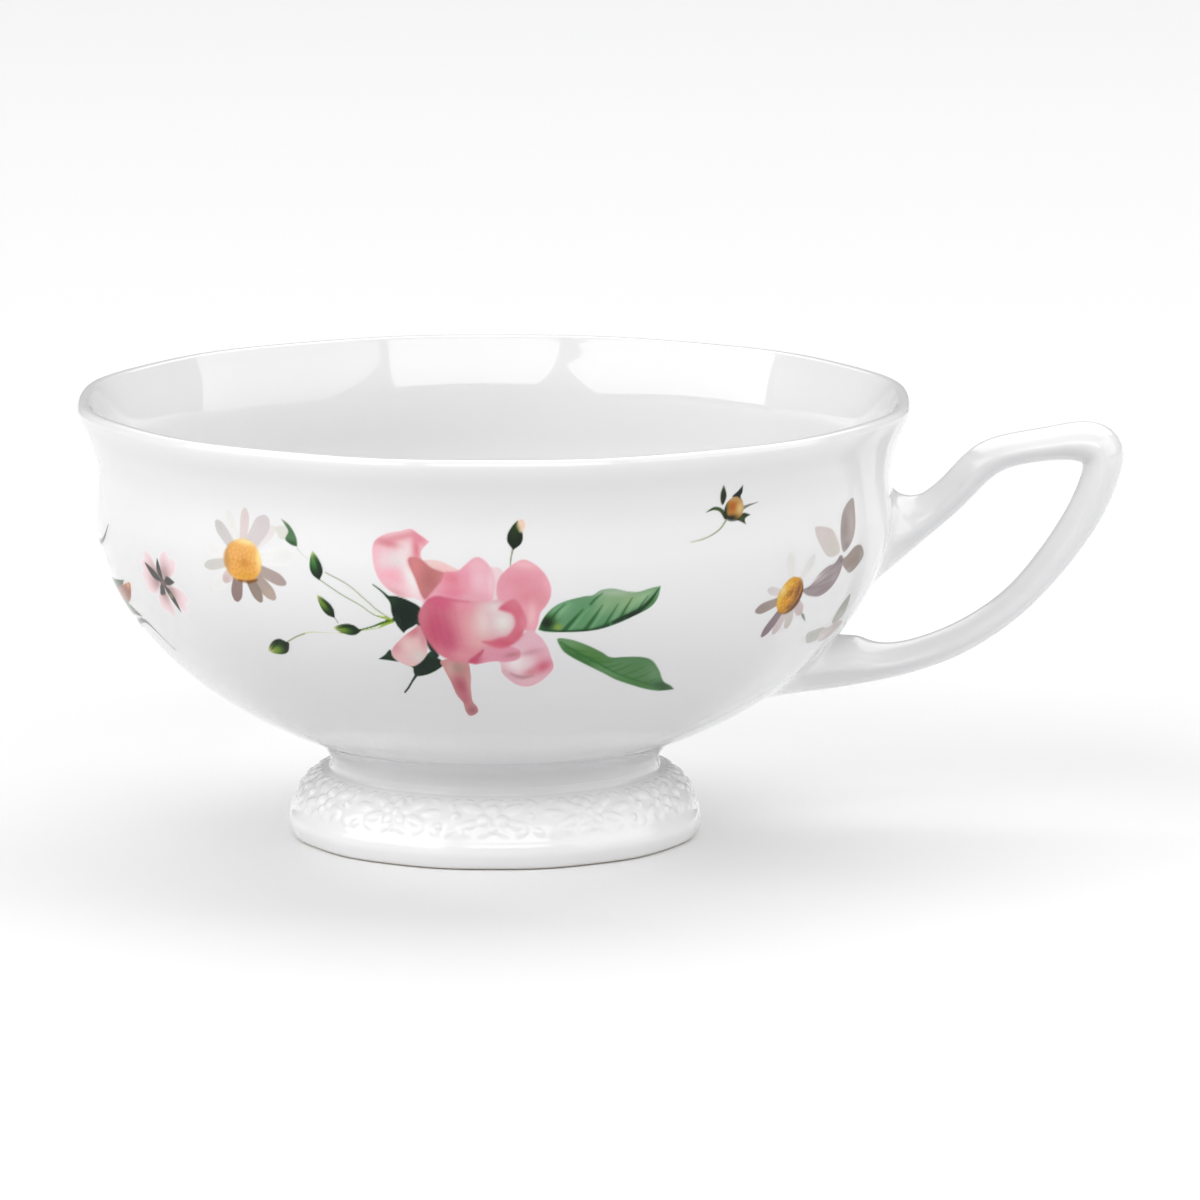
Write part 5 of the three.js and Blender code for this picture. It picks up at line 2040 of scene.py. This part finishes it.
class TEACUP_OT_blossoms(TeacupOperator, bpy.types.Operator):
    """Lays the small pink blossoms"""

    bl_idname = "teacup.blossoms"
    bl_label = "Blossom prints"

    def execute(self, context):
        return self.lay(context, "pink_blossom", "back_blossom")


class TEACUP_OT_greenery(TeacupOperator, bpy.types.Operator):
    """Lays the green buds and the sprig at the left edge"""

    bl_idname = "teacup.greenery"
    bl_label = "Green prints"

    def execute(self, context):
        return self.lay(context, "green_bud", "edge_spray", "back_bud")


# ---- Stage. Soft lights: name, degrees round from the front towards the handle, degrees up,
# distance, width and height in metres, and watts
LIGHTS = (
    ("window_left", -62, 32, 1.6, 1.9, 1.1, 15.5),
    ("back_light", 170, 60, 2.3, 3.4, 2.6, 47),
    ("right_fill", 80, 28, 1.9, 1.9, 1.5, 12),
    ("front_fill", 12, 37, 2.2, 1.6, 1.0, 12.5),
)
CEILING = (0.2, 0.2, 0.2, 1)  # the plain room overhead
ROOM_STRENGTH = 0.45
ROOM_BLEND = 0.6  # how steeply a view rises where the room turns fully into the ceiling
FLOOR_RADIUS = 6
FLOOR_SIDES = 96
FLOOR_DROP = 0.00002  # keeps the floor just under the standing ring
FLOOR_ROUGHNESS = 0.6
CAMERA_SENSOR = 36  # millimetres, like its lens
CAMERA_REACH = (0.05, 30)
AIM = (-0.0002, 0.00168)  # the camera's aim beside and above the middle of the cup's box


def add_softbox(name, azimuth, elevation, distance, width, height, power, target):
    """A rectangular light that faces a target, azimuth from the front towards +X."""
    data = bpy.data.lights.new(name, "AREA")
    data.shape = "RECTANGLE"
    data.size, data.size_y = width, height
    data.energy = power
    lamp = bpy.data.objects.new(name, data)
    bpy.context.scene.collection.objects.link(lamp)
    a, e = math.radians(azimuth), math.radians(elevation)
    away = Vector((math.sin(a) * math.cos(e), -math.cos(a) * math.cos(e), math.sin(e)))
    lamp.location = target + away * distance
    lamp.rotation_mode = "QUATERNION"
    lamp.rotation_quaternion = away.to_track_quat("Z", "Y")
    return lamp


class TEACUP_OT_stage(TeacupOperator, bpy.types.Operator):
    """Sets out the plain floor, the soft lights and the camera"""

    bl_idname = "teacup.stage"
    bl_label = "Stage"

    def execute(self, context):
        look = context.scene.stage_look
        low, high = CAD_BOX
        target = Vector((AIM[0], 0, (low.z + high.z) / 2 + AIM[1]))
        self.add_floor(look)
        for light in LIGHTS:
            add_softbox(*light, target)
        self.add_world(context, look)
        self.add_camera(context, look, target)
        context.scene.view_settings.view_transform = "Standard"
        return {"FINISHED"}

    def add_world(self, context, look):
        """A plain room, bright round the floor and dimmer overhead."""
        world = bpy.data.worlds.new("plain_room")
        world.use_nodes = True
        context.scene.world = world
        tree = world.node_tree
        start = Field(tree, None)
        towards = start.node("ShaderNodeTexCoord", output=0)
        up = (start.node("ShaderNodeSeparateXYZ", {}, {0: towards}, 2) / ROOM_BLEND).clamped()
        sky = up.mixed(colour4(look.sky), CEILING)
        tree.links.new(sky.socket, tree.nodes["Background"].inputs["Color"])
        tree.nodes["Background"].inputs["Strength"].default_value = ROOM_STRENGTH

    def add_floor(self, look):
        """A wide matt floor under the standing ring."""
        mesh = bpy.data.meshes.new("plain_floor")
        turns = [k * math.tau / FLOOR_SIDES for k in range(FLOOR_SIDES)]
        rim = [(FLOOR_RADIUS * math.cos(a), FLOOR_RADIUS * math.sin(a), 0) for a in turns]
        mesh.from_pydata(rim, [], [tuple(range(FLOOR_SIDES))])
        floor = bpy.data.objects.new("plain_floor", mesh)
        bpy.context.scene.collection.objects.link(floor)
        floor.location.z = -FLOOR_DROP
        material = bpy.data.materials.new("matt_floor")
        material.use_nodes = True
        shader = material.node_tree.nodes["Principled BSDF"]
        shader.inputs["Base Color"].default_value = colour4(look.floor)
        shader.inputs["Roughness"].default_value = FLOOR_ROUGHNESS
        mesh.materials.append(material)

    def add_camera(self, context, look, target):
        """A camera in front of the cup that looks a little down on it."""
        data = bpy.data.cameras.new("camera")
        data.lens = look.lens
        data.sensor_width = CAMERA_SENSOR
        data.clip_start, data.clip_end = CAMERA_REACH
        camera = bpy.data.objects.new("camera", data)
        context.scene.collection.objects.link(camera)
        e = look.elevation
        back = Vector((0, -math.cos(e), math.sin(e)))
        camera.location = target + back * look.distance
        camera.rotation_euler = (math.pi / 2 - e, 0, 0)
        context.scene.camera = camera


class TEACUP_PT_panel(bpy.types.Panel):
    """The teacup's sizes, colours and steps"""

    bl_idname = "TEACUP_PT_panel"
    bl_label = "Teacup"
    bl_space_type = "VIEW_3D"
    bl_region_type = "UI"
    bl_category = "Teacup"

    def draw(self, context):
        for group in (context.scene.cup_sizes, context.scene.cup_colours, context.scene.stage_look):
            box = self.layout.box()
            for name in group.__annotations__:
                box.prop(group, name)
        for operator in OPERATORS:
            self.layout.operator(operator.bl_idname)


OPERATORS = (
    TEACUP_OT_bowl,
    TEACUP_OT_foot,
    TEACUP_OT_handle,
    TEACUP_OT_roses,
    TEACUP_OT_daisies,
    TEACUP_OT_blossoms,
    TEACUP_OT_greenery,
    TEACUP_OT_stage,
)
GROUPS = {"cup_sizes": CupSizes, "cup_colours": CupColours, "stage_look": StageLook}


def register():
    for name, group in GROUPS.items():
        bpy.utils.register_class(group)
        setattr(bpy.types.Scene, name, PointerProperty(type=group))
    for operator in OPERATORS:
        bpy.utils.register_class(operator)
    bpy.utils.register_class(TEACUP_PT_panel)


def unregister():
    bpy.utils.unregister_class(TEACUP_PT_panel)
    for operator in reversed(OPERATORS):
        bpy.utils.unregister_class(operator)
    for name, group in GROUPS.items():
        delattr(bpy.types.Scene, name)
        bpy.utils.unregister_class(group)


def main():
    """Builds the teacup piece by piece."""
    register()
    bpy.ops.teacup.bowl()
    bpy.ops.teacup.foot()
    bpy.ops.teacup.handle()
    bpy.ops.teacup.roses()
    bpy.ops.teacup.daisies()
    bpy.ops.teacup.blossoms()
    bpy.ops.teacup.greenery()
    bpy.ops.teacup.stage()


if __name__ == "__main__":
    main()
